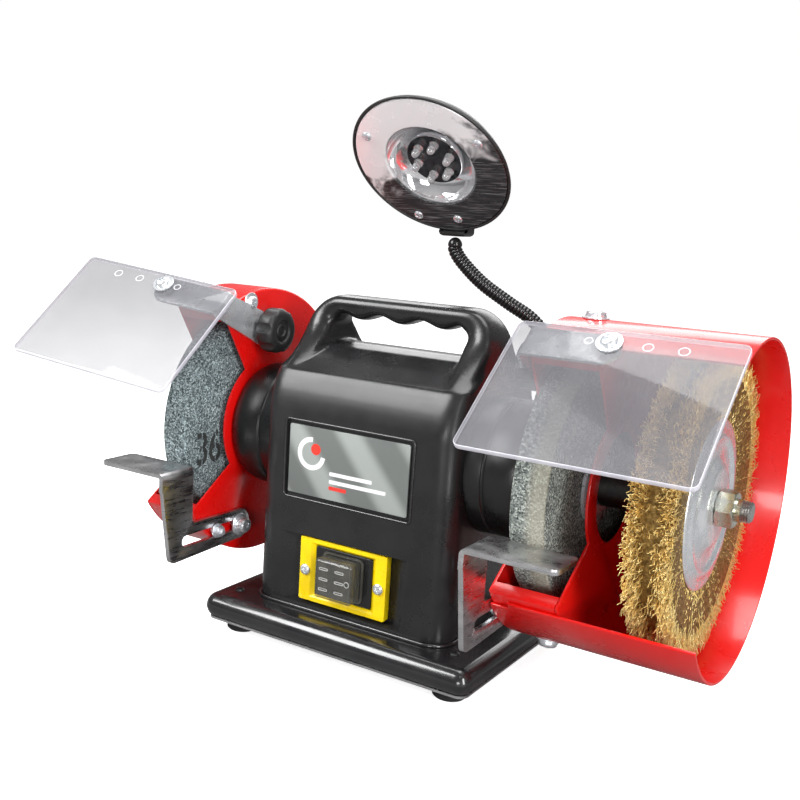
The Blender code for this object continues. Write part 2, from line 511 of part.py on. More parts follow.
def build_brush(rotor, bore, zinc, brass):
    core_low, core_high = BRUSH_X - BRUSH_CORE_WIDTH / 2, BRUSH_X + BRUSH_CORE_WIDTH / 2
    sleeve = [(wheel_x(2) + FIT, bore), (wheel_x(2) + FIT, BRUSH_HUB), (core_high, BRUSH_HUB), (core_high, bore)]
    turned("brush_sleeve", sleeve, zinc, rotor, segments=24)
    tip_low, tip_high = BRUSH_X - BRUSH_WIDTH / 2, BRUSH_X + BRUSH_WIDTH / 2
    root = BRUSH_HUB + FIT
    wires = [(core_low, root), (core_low, BRUSH_FLANGE_RADIUS + 1), (tip_low, BRUSH_RADIUS - 3),
             (BRUSH_X, BRUSH_RADIUS), (tip_high, BRUSH_RADIUS - 3), (core_high, BRUSH_FLANGE_RADIUS + 1),
             (core_high, root)]
    turned("brush_wires", wires, brass, rotor, segments=36)
    sheet = 1.2
    for name, side, start, inner in (("brush_flange_inner", -1, core_low - FIT, BRUSH_HUB + FIT),
                                     ("brush_flange_outer", 1, core_high + FIT, bore)):
        shape = [(0, BRUSH_FLANGE_RADIUS), (sheet, BRUSH_FLANGE_RADIUS), (sheet + 0.4, BRUSH_FLANGE_RADIUS - 6),
                 (sheet + 0.4, BRUSH_FLANGE_RADIUS - 16), (sheet + 3.4, BRUSH_FLANGE_RADIUS - 22),
                 (sheet + 3.4, inner), (0, inner)]
        turned(name, [(start + side * a, r) for a, r in shape], zinc, rotor, segments=28)
    seat = core_high + FIT + sheet + 3.4 + FIT
    nut("nut_right", seat, seat + NUT_THICK, zinc, rotor)


def guard_outline(radius, cut_radius):
    """The guard's side plate: a disc with its front opened down to a smaller arc."""
    return (arc(radius, OPEN_HIGH, 360 + OPEN_LOW, 36) + arc(cut_radius, OPEN_LOW, OPEN_HIGH, 12))


def build_guards(body, red):
    for side, name in ((-1, "left"), (1, "right")):
        start, end = BELL_END + FIT, GUARD_END
        outline = guard_outline(GUARD_RADIUS, GUARD_CUT_RADIUS)
        shell = prism(f"guard_{name}", outline, "X", *mirrored(side, start, end), red, body)
        skin = math.degrees(SHEET / GUARD_RADIUS)
        hollow = (arc(GUARD_RADIUS - SHEET, OPEN_HIGH + skin, 360 + OPEN_LOW - skin, 36)
                  + arc(GUARD_RADIUS - LIP, OPEN_LOW - skin, OPEN_HIGH + skin, 12))
        cutter = prism(f"guard_hollow_{name}", hollow, "X", *mirrored(side, start + SHEET, end + 5), red, body)
        boolean(shell, cutter)
        reach = mirrored(side, start - 3, start + 4)
        hole(shell, f"guard_hole_{name}", "X", (0, SHAFT_HEIGHT), PLATE_HOLE, *reach, body, 32)
        hole(shell, f"guard_pivot_{name}", "X", (PIVOT_Y, PIVOT_Z), SCREW_SHANK + FIT, *reach, body, 12)
        hole(shell, f"guard_rest_{name}", "X", (REST_BOLT_Y, ARM_Z), SCREW_SHANK + FIT, *reach, body, 12)
        cover_x = mirrored(side, end + FIT, end + FIT + SHEET)
        cover = prism(f"guard_cover_{name}", outline, "X", *cover_x, red, body)
        if side > 0:
            hole(cover, "divider_hole", "X", (0, SHAFT_HEIGHT), DIVIDER_HOLE, end - 3, end + 5, body, 32)


def build_drum(body, red, zinc):
    inner = GUARD_RADIUS + FIT
    sheet = arc(inner + SHEET, DRUM_OPEN_HIGH, 360 + DRUM_OPEN_LOW, 40)
    sheet += arc(inner, 360 + DRUM_OPEN_LOW, DRUM_OPEN_HIGH, 40)
    start = BELL_END + FIT
    drum = prism("brush_drum", sheet, "X", start, DRUM_END, red, body)
    middle = start + GUARD_DEPTH * 0.42
    for name, angle in (("top", 92.0), ("bottom", -76.0)):
        y, z = on_guard(1.0, angle)
        out = Vector((0, y, z - SHAFT_HEIGHT))
        seat = inner + SHEET + FIT
        depth = GUARD_RADIUS - SHEET - 4
        head = [(depth, 0), (depth, SCREW_SHANK), (seat, SCREW_SHANK), (seat, SCREW_HEAD + 1.5),
                (seat + 1.2, SCREW_HEAD + 1.5), (seat + 1.2, SCREW_HEAD), (seat + 3.6, SCREW_HEAD - 1),
                (seat + 4.2, 0)]
        at = (middle, 0, SHAFT_HEIGHT)
        turned(f"drum_screw_{name}", head, zinc, body, at, out, 20)
        bore = [(depth - 3, 0), (depth - 3, SCREW_SHANK + FIT), (seat + 2, SCREW_SHANK + FIT), (seat + 2, 0)]
        drum_bore = turned(f"drum_bore_{name}", bore, red, body, at, out, 12)
        boolean(drum, drum_bore)
        boolean(bpy.data.objects["guard_right"], drum_bore)


def build_rest(side, name, rest_body, body, zinc, steel):
    plane = BELL_END - FIT - REST_SHEET
    z_low = ARM_Z - ARM_HEIGHT / 2 - 2
    back = -REST_FRONT + REST_DEPTH
    end = [(REST_BOLT_Y + 11 * math.cos(math.radians(a)), ARM_Z + 10.5 * math.sin(math.radians(a)))
           for a in (-75, -45, -15, 15, 45, 75)]
    outline = [(-REST_FRONT, REST_TOP), (-REST_FRONT + 8, z_low + 2), (-REST_FRONT + 10, z_low), *end,
               (back + 2, ARM_Z + ARM_HEIGHT / 2), (back, ARM_Z + ARM_HEIGHT / 2 + 3), (back, REST_TOP)]
    plate = prism(f"tool_rest_{name}", outline, "X", *mirrored(side, plane, plane + REST_SHEET), steel, rest_body)
    x0, x1 = mirrored(side, plane, plane + REST_WIDTH)
    top = rounded_rectangle(x0, x1, -REST_FRONT, back, 3.0, 2)
    boolean(plate, prism(f"rest_top_{name}", top, "Z", REST_TOP - REST_SHEET, REST_TOP, steel, rest_body), "UNION")
    slot = rounded_rectangle(-REST_FRONT + 19.5, REST_BOLT_Y + SLOT_WIDTH / 2, ARM_Z - SLOT_WIDTH / 2,
                             ARM_Z + SLOT_WIDTH / 2, SLOT_WIDTH / 2 - 0.2)
    through = mirrored(side, plane - 3, plane + REST_SHEET + 3)
    boolean(plate, prism(f"rest_slot_{name}", slot, "X", *through, steel, rest_body))
    head = plane - FIT
    bolt = [(head - 6, 0), (head - 6, 4.3), (head - 5.5, 4.8), (head - 1.4, 4.8), (head - 1.4, 7.5), (head, 7.5),
            (head, SCREW_SHANK), (BELL_END + FIT + 5, SCREW_SHANK), (BELL_END + FIT + 5, 0)]
    at = (0, REST_BOLT_Y, ARM_Z)
    turned(f"rest_bolt_{name}", [(side * a, r) for a, r in bolt], zinc, body, at, segments=20)


def slope(distance, rise=0.0):
    """(y, z) on the eye shield, this far down its slope and this far above its underside."""
    tilt = math.radians(SHIELD_TILT)
    y = SHIELD_TOP_Y - distance * math.cos(tilt) - rise * math.sin(tilt)
    z = SHIELD_TOP_Z - distance * math.sin(tilt) + rise * math.cos(tilt)
    return y, z


def bend_strip(made, side, leg_x):
    """The left strip isn't bent quite square, so what it carries rises and swings forward at its end."""
    if side > 0:
        return
    y, z = slope(STRIP_WIDTH / 2)
    corner = Vector((side * leg_x, y, z)) - Vector(made.parent["at"])
    lift = Matrix.Rotation(math.radians(LEFT_LIFT), 4, "Y") @ Matrix.Rotation(math.radians(LEFT_SWING), 4, "Z")
    move = Matrix.Translation(corner * MM) @ lift @ Matrix.Translation(-corner * MM)
    made.data.transform(move)


def build_shield(side, name, shield_body, knob_body, acrylic, zinc, black):
    edge = [slope(0), slope(SHIELD_LENGTH), slope(SHIELD_LENGTH, SHIELD_SHEET), slope(0, SHIELD_SHEET)]
    span = mirrored(side, SHIELD_X, SHIELD_X + SHIELD_WIDTH)
    shield = prism(f"eye_shield_{name}", edge, "X", *span, acrylic, shield_body)
    leg_x = BELL_END - 2 * FIT - STRIP_SHEET
    bend_strip(shield, side, leg_x)
    strip_edge = [slope(0.5, -FIT - STRIP_SHEET), slope(STRIP_WIDTH, -FIT - STRIP_SHEET),
                  slope(STRIP_WIDTH, -FIT), slope(0.5, -FIT)]
    span = mirrored(side, leg_x, leg_x + STRIP_LENGTH)
    strip = prism(f"shield_bracket_{name}", strip_edge, "X", *span, zinc, shield_body)
    bend_strip(strip, side, leg_x)
    turns = [math.radians(angle) for angle in range(-110, 71, 20)]
    around = [(PIVOT_Y + PIVOT_RADIUS * math.cos(a), PIVOT_Z + PIVOT_RADIUS * math.sin(a)) for a in turns]
    leg = [slope(0.5, -FIT), slope(STRIP_WIDTH, -FIT), *around]
    span = mirrored(side, leg_x, leg_x + STRIP_SHEET)
    boolean(strip, prism(f"shield_leg_{name}", leg, "X", *span, zinc, shield_body), "UNION")
    hole(strip, f"leg_hole_{name}", "X", (PIVOT_Y, PIVOT_Z), SCREW_SHANK + FIT,
         *mirrored(side, leg_x - 3, leg_x + STRIP_SHEET + 3), shield_body, 12)
    build_knob(side, name, leg_x - FIT, knob_body, black)


def build_knob(side, name, seat, knob_body, black):
    """A lobed clamping knob, with its stud through the bracket and the guard."""
    mesh = bmesh.new()
    count = KNOB_LOBES * 4
    face = seat - KNOB_LENGTH
    stations = [(BELL_END + 4.5, SCREW_SHANK, 0), (seat, SCREW_SHANK, 0), (seat, 8.0, 0), (seat - 2.5, 8.5, 0),
                (seat - 3.5, KNOB_RADIUS - 1.5, 1), (seat - 5.5, KNOB_RADIUS, 1), (face + 3, KNOB_RADIUS, 1),
                (face + 1, KNOB_RADIUS - 1.5, 1), (face, KNOB_RADIUS - 4, 0.4), (face, 5.5, 0), (face + 1.5, 5.0, 0)]
    rings = [[mesh.verts.new((side * stations[0][0], PIVOT_Y, PIVOT_Z))]]
    for x, radius, lobed in stations:
        ring = []
        for i in range(count):
            turn = 2 * math.pi * i / count
            reach = radius - lobed * 1.3 * (1 - math.cos(turn * KNOB_LOBES)) / 2
            y, z = PIVOT_Y + reach * math.cos(turn), PIVOT_Z + reach * math.sin(turn)
            ring.append(mesh.verts.new((side * x, y, z)))
        rings.append(ring)
    rings.append([mesh.verts.new((side * stations[-1][0], PIVOT_Y, PIVOT_Z))])
    ring_mesh(mesh, rings)
    finish(f"shield_knob_{name}", mesh, black, knob_body)


def build_label(body, plate):
    floor = -HOUSING_FRONT + 0.5 + LABEL_RECESS - FIT
    outline = rounded_rectangle(*box_span(FITTINGS_X, LABEL_Z, LABEL_WIDTH, LABEL_HEIGHT), 1.0, 2)
    prism("label_plate", outline, "Y", floor - LABEL_THICK, floor, plate, body)


def lamp_axis():
    tilt = math.radians(LAMP_TILT)
    return Vector((0, -math.cos(tilt), -math.sin(tilt)))


def build_lamp(body, neck_body, head_body, black, mirror, zinc, glass):
    block_y = NECK_ROUTE[0][1]
    mount_top = NECK_ROUTE[0][2] - 0.065 * NECK_RADIUS      # the neck leans a little where it leaves the block
    x = NECK_ROUTE[0][0]
    low = (x - 11, HOUSING_BACK + FIT, mount_top - 24)
    box("lamp_mount", low, (x + 11, block_y + 9, mount_top), black, body, 2.0)
    route = smooth_route(NECK_ROUTE, 3)
    split = NECK_BEND * 3
    pivot = route[split]
    lower = [point for point in route[:split] if (point - pivot).length > NECK_RADIUS + 2.5]
    lower.append(pivot + (lower[-1] - pivot).normalized() * (NECK_RADIUS + 2 * FIT))
    tube("lamp_neck_lower", lower, NECK_RADIUS, black, body)
    tube("lamp_neck_upper", route[split:], NECK_RADIUS, black, neck_body, round_ends=True)
    rim = LAMP_RADIUS
    build_lamp_socket(head_body, rim, black)
    shell = [(0, rim - 2), (0, rim - 0.4), (-0.5, rim), (-3.5, rim - 1.5), (-12, rim - 9), (-19, rim - 20),
             (-23, rim - 34), (-24, 0), (-22.5, 0), (-21.5, rim - 35), (-17.5, rim - 21.5), (-10.5, rim - 10.5),
             (-2.5, rim - 2.8), (-2.0, rim - 2)]
    at = LAMP_CENTRE
    turned("lamp_shell", shell, black, head_body, at, lamp_axis(), 28)
    plate = [(-0.4, BOWL_RADIUS), (-0.4, rim - 2 - FIT), (-1.6, rim - 2 - FIT), (-1.6, BOWL_RADIUS)]
    turned("lamp_face_plate", plate, mirror, head_body, at, lamp_axis(), 28)
    bowl = [(-1.9, BOWL_RADIUS - 1), (-1.9, BOWL_RADIUS + 1), (-6, BOWL_RADIUS - 0.5), (-13, BOWL_RADIUS - 7),
            (-18, BOWL_RADIUS - 16), (-19, 0), (-18, 0), (-17, BOWL_RADIUS - 17), (-12.4, BOWL_RADIUS - 8),
            (-5.6, BOWL_RADIUS - 2)]
    turned("lamp_reflector", bowl, mirror, head_body, at, lamp_axis(), 24)
    board = [(-17.7, 0), (-16.7, 10), (-10, LED_RADIUS - 1.5), (-9, LED_RADIUS), (-7.5, LED_RADIUS), (-7.5, 0)]
    turned("led_board", board, glass, head_body, at, lamp_axis(), 24)


def behind_rim(along, radius):
    """(y, z) at the foot of the lamp head, this far along its axis and this far from it."""
    tilt = math.radians(LAMP_TILT)
    y = LAMP_CENTRE.y - along * math.cos(tilt) + radius * math.sin(tilt)
    z = LAMP_CENTRE.z - along * math.sin(tilt) - radius * math.cos(tilt)
    return y, z


def build_lamp_socket(head_body, rim, black):
    """The block that joins the foot of the lamp's rim to the ball end of the neck."""
    y, z = NECK_ROUTE[-1][1], NECK_ROUTE[-1][2] + NECK_RADIUS + FIT
    gap = 2 * FIT
    lip = behind_rim(0.2, rim + gap)
    outline = [(y - 6, z), (y + SOCKET_DEPTH, z), (y + SOCKET_DEPTH, z + SOCKET_HEIGHT),
               behind_rim(-11, rim - 7.5 + gap), behind_rim(-3.5, rim - 1.0 + gap), lip, (y - 6, lip[1] - 0.4)]
    prism("lamp_socket", outline, "X", -SOCKET_WIDTH / 2, SOCKET_WIDTH / 2, black, head_body)


def build_inlet(body, black):
    gland = [(FIT, 0), (FIT, 9), (3, 9), (4, 7), (14, 5.5), (14, 3.6), (6, 3.6), (6, 0)]
    turned("cable_gland", gland, black, body, (-42, HOUSING_BACK, BASE_TOP + 20), (0, 1, 0), 24)


def rest_on_origin(root):
    """Moves the whole object so that the middle of its box's bottom is at the origin."""
    bpy.context.view_layer.update()
    graph = bpy.context.evaluated_depsgraph_get()
    corners = []
    for obj in bpy.context.scene.objects:
        if obj.type == "MESH" and not obj.hide_render:
            placed = obj.evaluated_get(graph)
            corners += [placed.matrix_world @ vert.co for vert in placed.data.vertices]
    low = [min(corner[k] for corner in corners) for k in range(3)]
    high = [max(corner[k] for corner in corners) for k in range(3)]
    root.location = (-(low[0] + high[0]) / 2, -(low[1] + high[1]) / 2, -low[2])


def main():
    clear_scene()
    paint = material("black_gloss_paint", (0.012, 0.012, 0.013), 0.28)
    plastic = material("black_satin_enamel", (0.014, 0.014, 0.015), 0.35)
    moulded = material("black_moulding", (0.02, 0.02, 0.02), 0.45)
    rubber = material("black_rubber", (0.015, 0.015, 0.015), 0.85)
    red = material("red_enamel", (0.72, 0.012, 0.01), 0.3)
    zinc = material("zinc_plate", (0.72, 0.72, 0.7), 0.3, 1.0)
    steel = material("bright_steel", (0.55, 0.55, 0.54), 0.35, 1.0)
    cast = material("black_casting", (0.01, 0.01, 0.01), 0.4)
    lamination = material("laminated_iron", (0.25, 0.25, 0.26), 0.5, 1.0)
    copper = material("enamelled_copper", (0.6, 0.22, 0.08), 0.35, 1.0)
    grit = material("grey_abrasive", (0.2, 0.23, 0.23), 0.95)
    brass = material("brass_wire", (0.8, 0.58, 0.2), 0.3, 1.0)
    yellow = material("yellow_plastic", (0.95, 0.72, 0.0), 0.3)
    clear = material("clear_soft_cover", (0.3, 0.3, 0.3), 0.2, 0.0, 0.4)
    acrylic = material("clear_acrylic", (0.85, 0.87, 0.88), 0.05, 0.0, 0.3)
    plate = material("brushed_label", (0.3, 0.32, 0.31), 0.3, 0.8)
    mirror = material("polished_reflector", (0.8, 0.8, 0.8), 0.08, 1.0)
    board = material("led_board_black", (0.03, 0.03, 0.03), 0.2)

    root = empty("grinder_root")
    rotor = empty("rotor_frame", (0, 0, SHAFT_HEIGHT), root)
    face = -HOUSING_FRONT + SWITCH_RECESS - FIT - BEZEL_THICK
    rocker = empty("rocker_frame", (FITTINGS_X, face + 2.5, BEZEL_Z), root)
    build_base(root, paint, rubber, steel)
    build_housing(root, plastic)
    build_label(root, plate)
    build_switch(root, rocker, yellow, moulded, clear)
    build_motor(root, rotor, cast, lamination, copper, steel, moulded)
    build_rotor(rotor, steel, grit, zinc, brass)
    build_guards(root, red)
    build_drum(root, red, zinc)
    for side, name in ((-1, "left"), (1, "right")):
        rest = empty(f"rest_frame_{name}", (side * BELL_END, REST_BOLT_Y, ARM_Z), root)
        build_rest(side, name, rest, root, zinc, steel)
        shield = empty(f"shield_frame_{name}", (side * BELL_END, PIVOT_Y, PIVOT_Z), root)
        knob = empty(f"knob_frame_{name}", (side * BELL_END, PIVOT_Y, PIVOT_Z), root)
        build_shield(side, name, shield, knob, acrylic, zinc, moulded)
    neck = empty("neck_frame", NECK_ROUTE[NECK_BEND], root)
    head = empty("head_frame", NECK_ROUTE[-1], neck)
    build_lamp(root, neck, head, moulded, mirror, zinc, board)
    build_inlet(root, moulded)
    rest_on_origin(root)


main()
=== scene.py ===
# %% [markdown]
# # A bench grinder, dressed piece by piece
# A measured model of a bench grinder is already there, with every wheel, screw and hinge in its place.
# In this lesson each visible piece gets its real shape and its real surface: sprayed enamel, zinc plate,
# bonded grit, crimped brass wire and clear plastic. We start by loading the measured pieces. Their places
# are all in metres, in one frame, so nothing has to be fitted by eye.

# %% Load the measured pieces
import math

import bpy
import numpy as np
from mathutils import Matrix, Vector


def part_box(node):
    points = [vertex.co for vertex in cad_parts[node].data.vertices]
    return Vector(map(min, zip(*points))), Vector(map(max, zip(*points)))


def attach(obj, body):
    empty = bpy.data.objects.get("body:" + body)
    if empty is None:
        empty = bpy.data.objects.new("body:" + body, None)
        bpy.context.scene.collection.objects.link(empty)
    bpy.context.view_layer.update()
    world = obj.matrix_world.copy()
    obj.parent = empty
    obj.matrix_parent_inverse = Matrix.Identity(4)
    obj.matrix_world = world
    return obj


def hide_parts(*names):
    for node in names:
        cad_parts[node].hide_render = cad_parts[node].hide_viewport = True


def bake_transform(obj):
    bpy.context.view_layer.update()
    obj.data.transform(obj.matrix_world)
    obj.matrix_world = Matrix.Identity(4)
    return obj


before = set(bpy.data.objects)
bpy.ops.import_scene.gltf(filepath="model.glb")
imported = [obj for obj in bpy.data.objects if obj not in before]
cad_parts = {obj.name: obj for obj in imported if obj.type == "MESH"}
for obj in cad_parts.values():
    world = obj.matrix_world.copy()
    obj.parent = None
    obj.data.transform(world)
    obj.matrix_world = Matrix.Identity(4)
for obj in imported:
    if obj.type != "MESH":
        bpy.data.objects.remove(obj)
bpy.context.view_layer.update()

# %% [markdown]
# A maker thinks of this machine from its shaft outwards, in millimetres. The stator is centred on the
# shaft and on the middle of the motor, so its box gives the point that everything else is placed from.

# %% A way to say where things are
MM = 0.001
STATOR_LOW, STATOR_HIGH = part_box("stator_core")
MIDDLE = (STATOR_LOW + STATOR_HIGH) / 2
SHAFT = MIDDLE.z / MM


def place(x, y, z):
    """A point in millimetres: x from the middle of the motor, y from the shaft, z from the bench."""
    return Vector((MIDDLE.x + x * MM, MIDDLE.y + y * MM, z * MM))


def measured(node):
    """The lowest and highest corner of a measured piece, in the same millimetres."""
    low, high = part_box(node)
    origin = Vector((MIDDLE.x, MIDDLE.y, 0))
    return (low - origin) / MM, (high - origin) / MM


print("the shaft is", round(SHAFT, 1), "mm above the bench")

# %% [markdown]
# The camera stands to the right of the machine and looks slightly down, with a normal lens. Its small
# shift moves the picture on the film without turning the camera, so upright edges stay upright.

# %% Camera
camera_data = bpy.data.cameras.new("studio_camera")
camera_data.lens = 48.17
camera_data.sensor_width = 36.0
camera_data.shift_x, camera_data.shift_y = 0.09105, 0.022725
camera_data.clip_start = 0.01
camera = bpy.data.objects.new("studio_camera", camera_data)
bpy.context.scene.collection.objects.link(camera)
camera.location = place(339.91, -585.66, 279.37)
camera.rotation_euler = [math.radians(turn) for turn in (78.726, -2.844, 34.587)]
bpy.context.scene.camera = camera
bpy.context.scene.view_settings.view_transform = "Standard"
print("camera at", [round(value, 3) for value in camera.location])

# %% [markdown]
# Most of the grinder is black gloss, and black gloss shows little but what it reflects. Large soft panels
# give it long highlights: one high on the left as the main light, one low on the right for the corner of
# the motor body, and one overhead. The room itself is only half bright, so that the blacks stay deep.

# %% Soft studio light
def panel(name, at, aim, width, height, power):
    """A soft rectangular light that faces a point."""
    light = bpy.data.lights.new(name, "AREA")
    light.shape = "RECTANGLE"
    light.size, light.size_y, light.energy = width, height, power
    lamp = bpy.data.objects.new(name, light)
    bpy.context.scene.collection.objects.link(lamp)
    lamp.location = at
    lamp.rotation_euler = (Vector(aim) - Vector(at)).to_track_quat("-Z", "Y").to_euler()
    return lamp


panel("key_panel", (-1.1, -1.3, 1.5), (0, 0, 0.12), 1.0, 1.0, 50)
panel("corner_panel", (1.25, -0.75, 0.55), (0.05, 0, 0.13), 0.28, 1.1, 16)
panel("top_panel", (0.1, 0.25, 1.6), (0, 0, 0.1), 1.5, 0.9, 26)
panel("front_panel", (0.55, -1.5, 0.22), (0, 0, 0.25), 0.5, 0.3, 6)
panel("back_panel", (-0.4, 1.5, 0.9), (0, 0, 0.2), 1.4, 0.6, 8)


def room(strength, backdrop):
    """Dim grey light from everywhere, brighter from above, with a plain white backdrop behind the object."""
    world = bpy.data.worlds.new("studio_room")
    bpy.context.scene.world = world
    world.use_nodes = True
    nodes, links = world.node_tree.nodes, world.node_tree.links
    output = nodes["World Output"]
    ambient = nodes["Background"]
    ambient.inputs["Strength"].default_value = strength
    direction = nodes.new("ShaderNodeTexCoord")
    split = nodes.new("ShaderNodeSeparateXYZ")
    ramp = nodes.new("ShaderNodeValToRGB")
    ramp.color_ramp.elements[0].position, ramp.color_ramp.elements[1].position = 0.42, 0.95
    ramp.color_ramp.elements[0].color = (0.5, 0.5, 0.51, 1)
    ramp.color_ramp.elements[1].color = (1, 1, 1, 1)
    lift = nodes.new("ShaderNodeMath")
    lift.operation = "MULTIPLY_ADD"
    lift.inputs[1].default_value, lift.inputs[2].default_value = 0.5, 0.5
    links.new(direction.outputs["Generated"], split.inputs[0])
    links.new(split.outputs["Z"], lift.inputs[0])
    links.new(lift.outputs[0], ramp.inputs[0])
    links.new(ramp.outputs[0], ambient.inputs["Color"])
    white = nodes.new("ShaderNodeBackground")
    white.inputs["Color"].default_value = (1, 1, 1, 1)
    white.inputs["Strength"].default_value = backdrop
    seen = nodes.new("ShaderNodeLightPath")
    mix = nodes.new("ShaderNodeMixShader")
    links.new(seen.outputs["Is Camera Ray"], mix.inputs[0])
    links.new(ambient.outputs[0], mix.inputs[1])
    links.new(white.outputs[0], mix.inputs[2])
    links.new(mix.outputs[0], output.inputs["Surface"])


room(0.34, 1.0)

# %% [markdown]
# The floor is a plain pale sweep that glows, as overlit paper does, so the grinder stands on white with
# only a soft shadow. What the black paint reflects is a dimmer paper, so that the blacks stay deep.

# %% Floor
bpy.ops.object.select_all(action="DESELECT")
bpy.ops.mesh.primitive_plane_add(size=30, location=(0, 0, 0))
floor = bpy.context.object
floor.name = "studio_floor"
paper = bpy.data.materials.new("pale_paper")
paper.use_nodes = True
paper_nodes, paper_links = paper.node_tree.nodes, paper.node_tree.links
bright = paper_nodes["Principled BSDF"]
bright.inputs["Base Color"].default_value = (0.86, 0.86, 0.86, 1)
bright.inputs["Roughness"].default_value = 0.9
bright.inputs["Specular IOR Level"].default_value = 0.0
bright.inputs["Emission Color"].default_value = (1, 1, 1, 1)
bright.inputs["Emission Strength"].default_value = 0.84
dim = paper_nodes.new("ShaderNodeBsdfDiffuse")
dim.inputs["Color"].default_value = (0.24, 0.24, 0.24, 1)
seen_directly = paper_nodes.new("ShaderNodeLightPath")
choose = paper_nodes.new("ShaderNodeMixShader")
paper_links.new(seen_directly.outputs["Is Camera Ray"], choose.inputs[0])
paper_links.new(dim.outputs[0], choose.inputs[1])
paper_links.new(bright.outputs[0], choose.inputs[2])
paper_links.new(choose.outputs[0], paper_nodes["Material Output"].inputs["Surface"])
floor.data.materials.append(paper)

# %% [markdown]
# ## Finishes
# Almost every surface here varies in the same three ways: its colour drifts in large soft patches, its
# gloss is uneven, and it has a fine relief that breaks up highlights. One node group does all three, and
# each finish sets its own values. All patterns read Object coordinates, which are metres on these pieces,
# so a scale of 1000 means a detail of about one millimetre.

# %% The shared group for colour drift, uneven gloss and fine relief
def add_sockets(group, direction, sockets):
    for name, kind, value in sockets:
        made = group.interface.new_socket(name, in_out=direction, socket_type="NodeSocket" + kind)
        if value is not None:
            made.default_value = value


def noise(nodes, links, coordinates, scale_from, detail, roughness=0.5):
    made = nodes.new("ShaderNodeTexNoise")
    made.inputs["Detail"].default_value = detail
    made.inputs["Roughness"].default_value = roughness
    links.new(coordinates, made.inputs["Vector"])
    if isinstance(scale_from, float):
        made.inputs["Scale"].default_value = scale_from
    else:
        links.new(scale_from, made.inputs["Scale"])
    return made


def make_surface_group():
    group = bpy.data.node_groups.new("uneven_surface", "ShaderNodeTree")
    add_sockets(group, "INPUT", [("Colour", "Color", (0.5, 0.5, 0.5, 1)),
        ("Second Colour", "Color", (0.4, 0.4, 0.4, 1)),
                                 ("Patch Scale", "Float", 30.0), ("Low Roughness", "Float", 0.3),
                                 ("High Roughness", "Float", 0.4), ("Relief Scale", "Float", 1500.0),
                                 ("Stretch", "Vector", (1.0, 1.0, 1.0))])
    add_sockets(group, "OUTPUT", [("Colour", "Color", None), ("Roughness", "Float", None),
        ("Height", "Float", None)])
    nodes, links = group.nodes, group.links
    given, result = nodes.new("NodeGroupInput"), nodes.new("NodeGroupOutput")
    where = nodes.new("ShaderNodeTexCoord")
    stretch = nodes.new("ShaderNodeVectorMath")
    stretch.operation = "MULTIPLY"
    links.new(where.outputs["Object"], stretch.inputs[0])
    links.new(given.outputs["Stretch"], stretch.inputs[1])
    patches = noise(nodes, links, where.outputs["Object"], given.outputs["Patch Scale"], 4.0, 0.6)
    contrast = nodes.new("ShaderNodeMapRange")
    contrast.inputs["From Min"].default_value, contrast.inputs["From Max"].default_value = 0.35, 0.65
    links.new(patches.outputs["Fac"], contrast.inputs["Value"])
    colours = nodes.new("ShaderNodeMix")
    colours.data_type = "RGBA"
    links.new(contrast.outputs[0], colours.inputs["Factor"])
    links.new(given.outputs["Colour"], colours.inputs["A"])
    links.new(given.outputs["Second Colour"], colours.inputs["B"])
    links.new(colours.outputs["Result"], result.inputs["Colour"])
    gloss = noise(nodes, links, stretch.outputs[0], given.outputs["Patch Scale"], 6.0, 0.65)
    spread = nodes.new("ShaderNodeMapRange")
    spread.inputs["From Min"].default_value, spread.inputs["From Max"].default_value = 0.35, 0.65
    links.new(gloss.outputs["Fac"], spread.inputs["Value"])
    links.new(given.outputs["Low Roughness"], spread.inputs["To Min"])
    links.new(given.outputs["High Roughness"], spread.inputs["To Max"])
    links.new(spread.outputs[0], result.inputs["Roughness"])
    relief = noise(nodes, links, stretch.outputs[0], given.outputs["Relief Scale"], 3.0)
    links.new(relief.outputs["Fac"], result.inputs["Height"])
    return group


SURFACE = make_surface_group()


def finish(name, colour, second=None, patch=30.0, roughness=(0.3, 0.4), relief=1500.0, depth=0.02, bump=0.2,
           stretch=(1.0, 1.0, 1.0), metallic=0.0, coat=0.0, coat_roughness=0.08, alpha=1.0, ior=1.5):
    """A material whose colour, gloss and relief come from the shared group. Depth is in millimetres."""
    made = bpy.data.materials.new(name)
    made.use_nodes = True
    nodes, links = made.node_tree.nodes, made.node_tree.links
    shader = nodes["Principled BSDF"]
    varied = nodes.new("ShaderNodeGroup")
    varied.node_tree = SURFACE
    varied.name = "uneven_surface"
    varied.inputs["Colour"].default_value = (*colour, 1)
    varied.inputs["Second Colour"].default_value = (*(second or [c * 0.8 for c in colour]), 1)
    varied.inputs["Patch Scale"].default_value = patch
    varied.inputs["Low Roughness"].default_value, varied.inputs["High Roughness"].default_value = roughness
    varied.inputs["Relief Scale"].default_value = relief
    varied.inputs["Stretch"].default_value = stretch
    relief_node = nodes.new("ShaderNodeBump")
    relief_node.name = "relief"
    relief_node.inputs["Strength"].default_value = bump
    relief_node.inputs["Distance"].default_value = depth * MM
    links.new(varied.outputs["Colour"], shader.inputs["Base Color"])
    links.new(varied.outputs["Roughness"], shader.inputs["Roughness"])
    links.new(varied.outputs["Height"], relief_node.inputs["Height"])
    links.new(relief_node.outputs[0], shader.inputs["Normal"])
    shader.inputs["Metallic"].default_value = metallic
    shader.inputs["Coat Weight"].default_value = coat
    shader.inputs["Coat Roughness"].default_value = coat_roughness
    shader.inputs["Alpha"].default_value = alpha
    shader.inputs["IOR"].default_value = ior
    return made


# %% [markdown]
# Paints come first. Sprayed enamel is glossy with a faint orange peel, which is a relief of about two
# millimetres. The motor body has a fine leathery grain on its shoulders, and moulded knobs are duller.

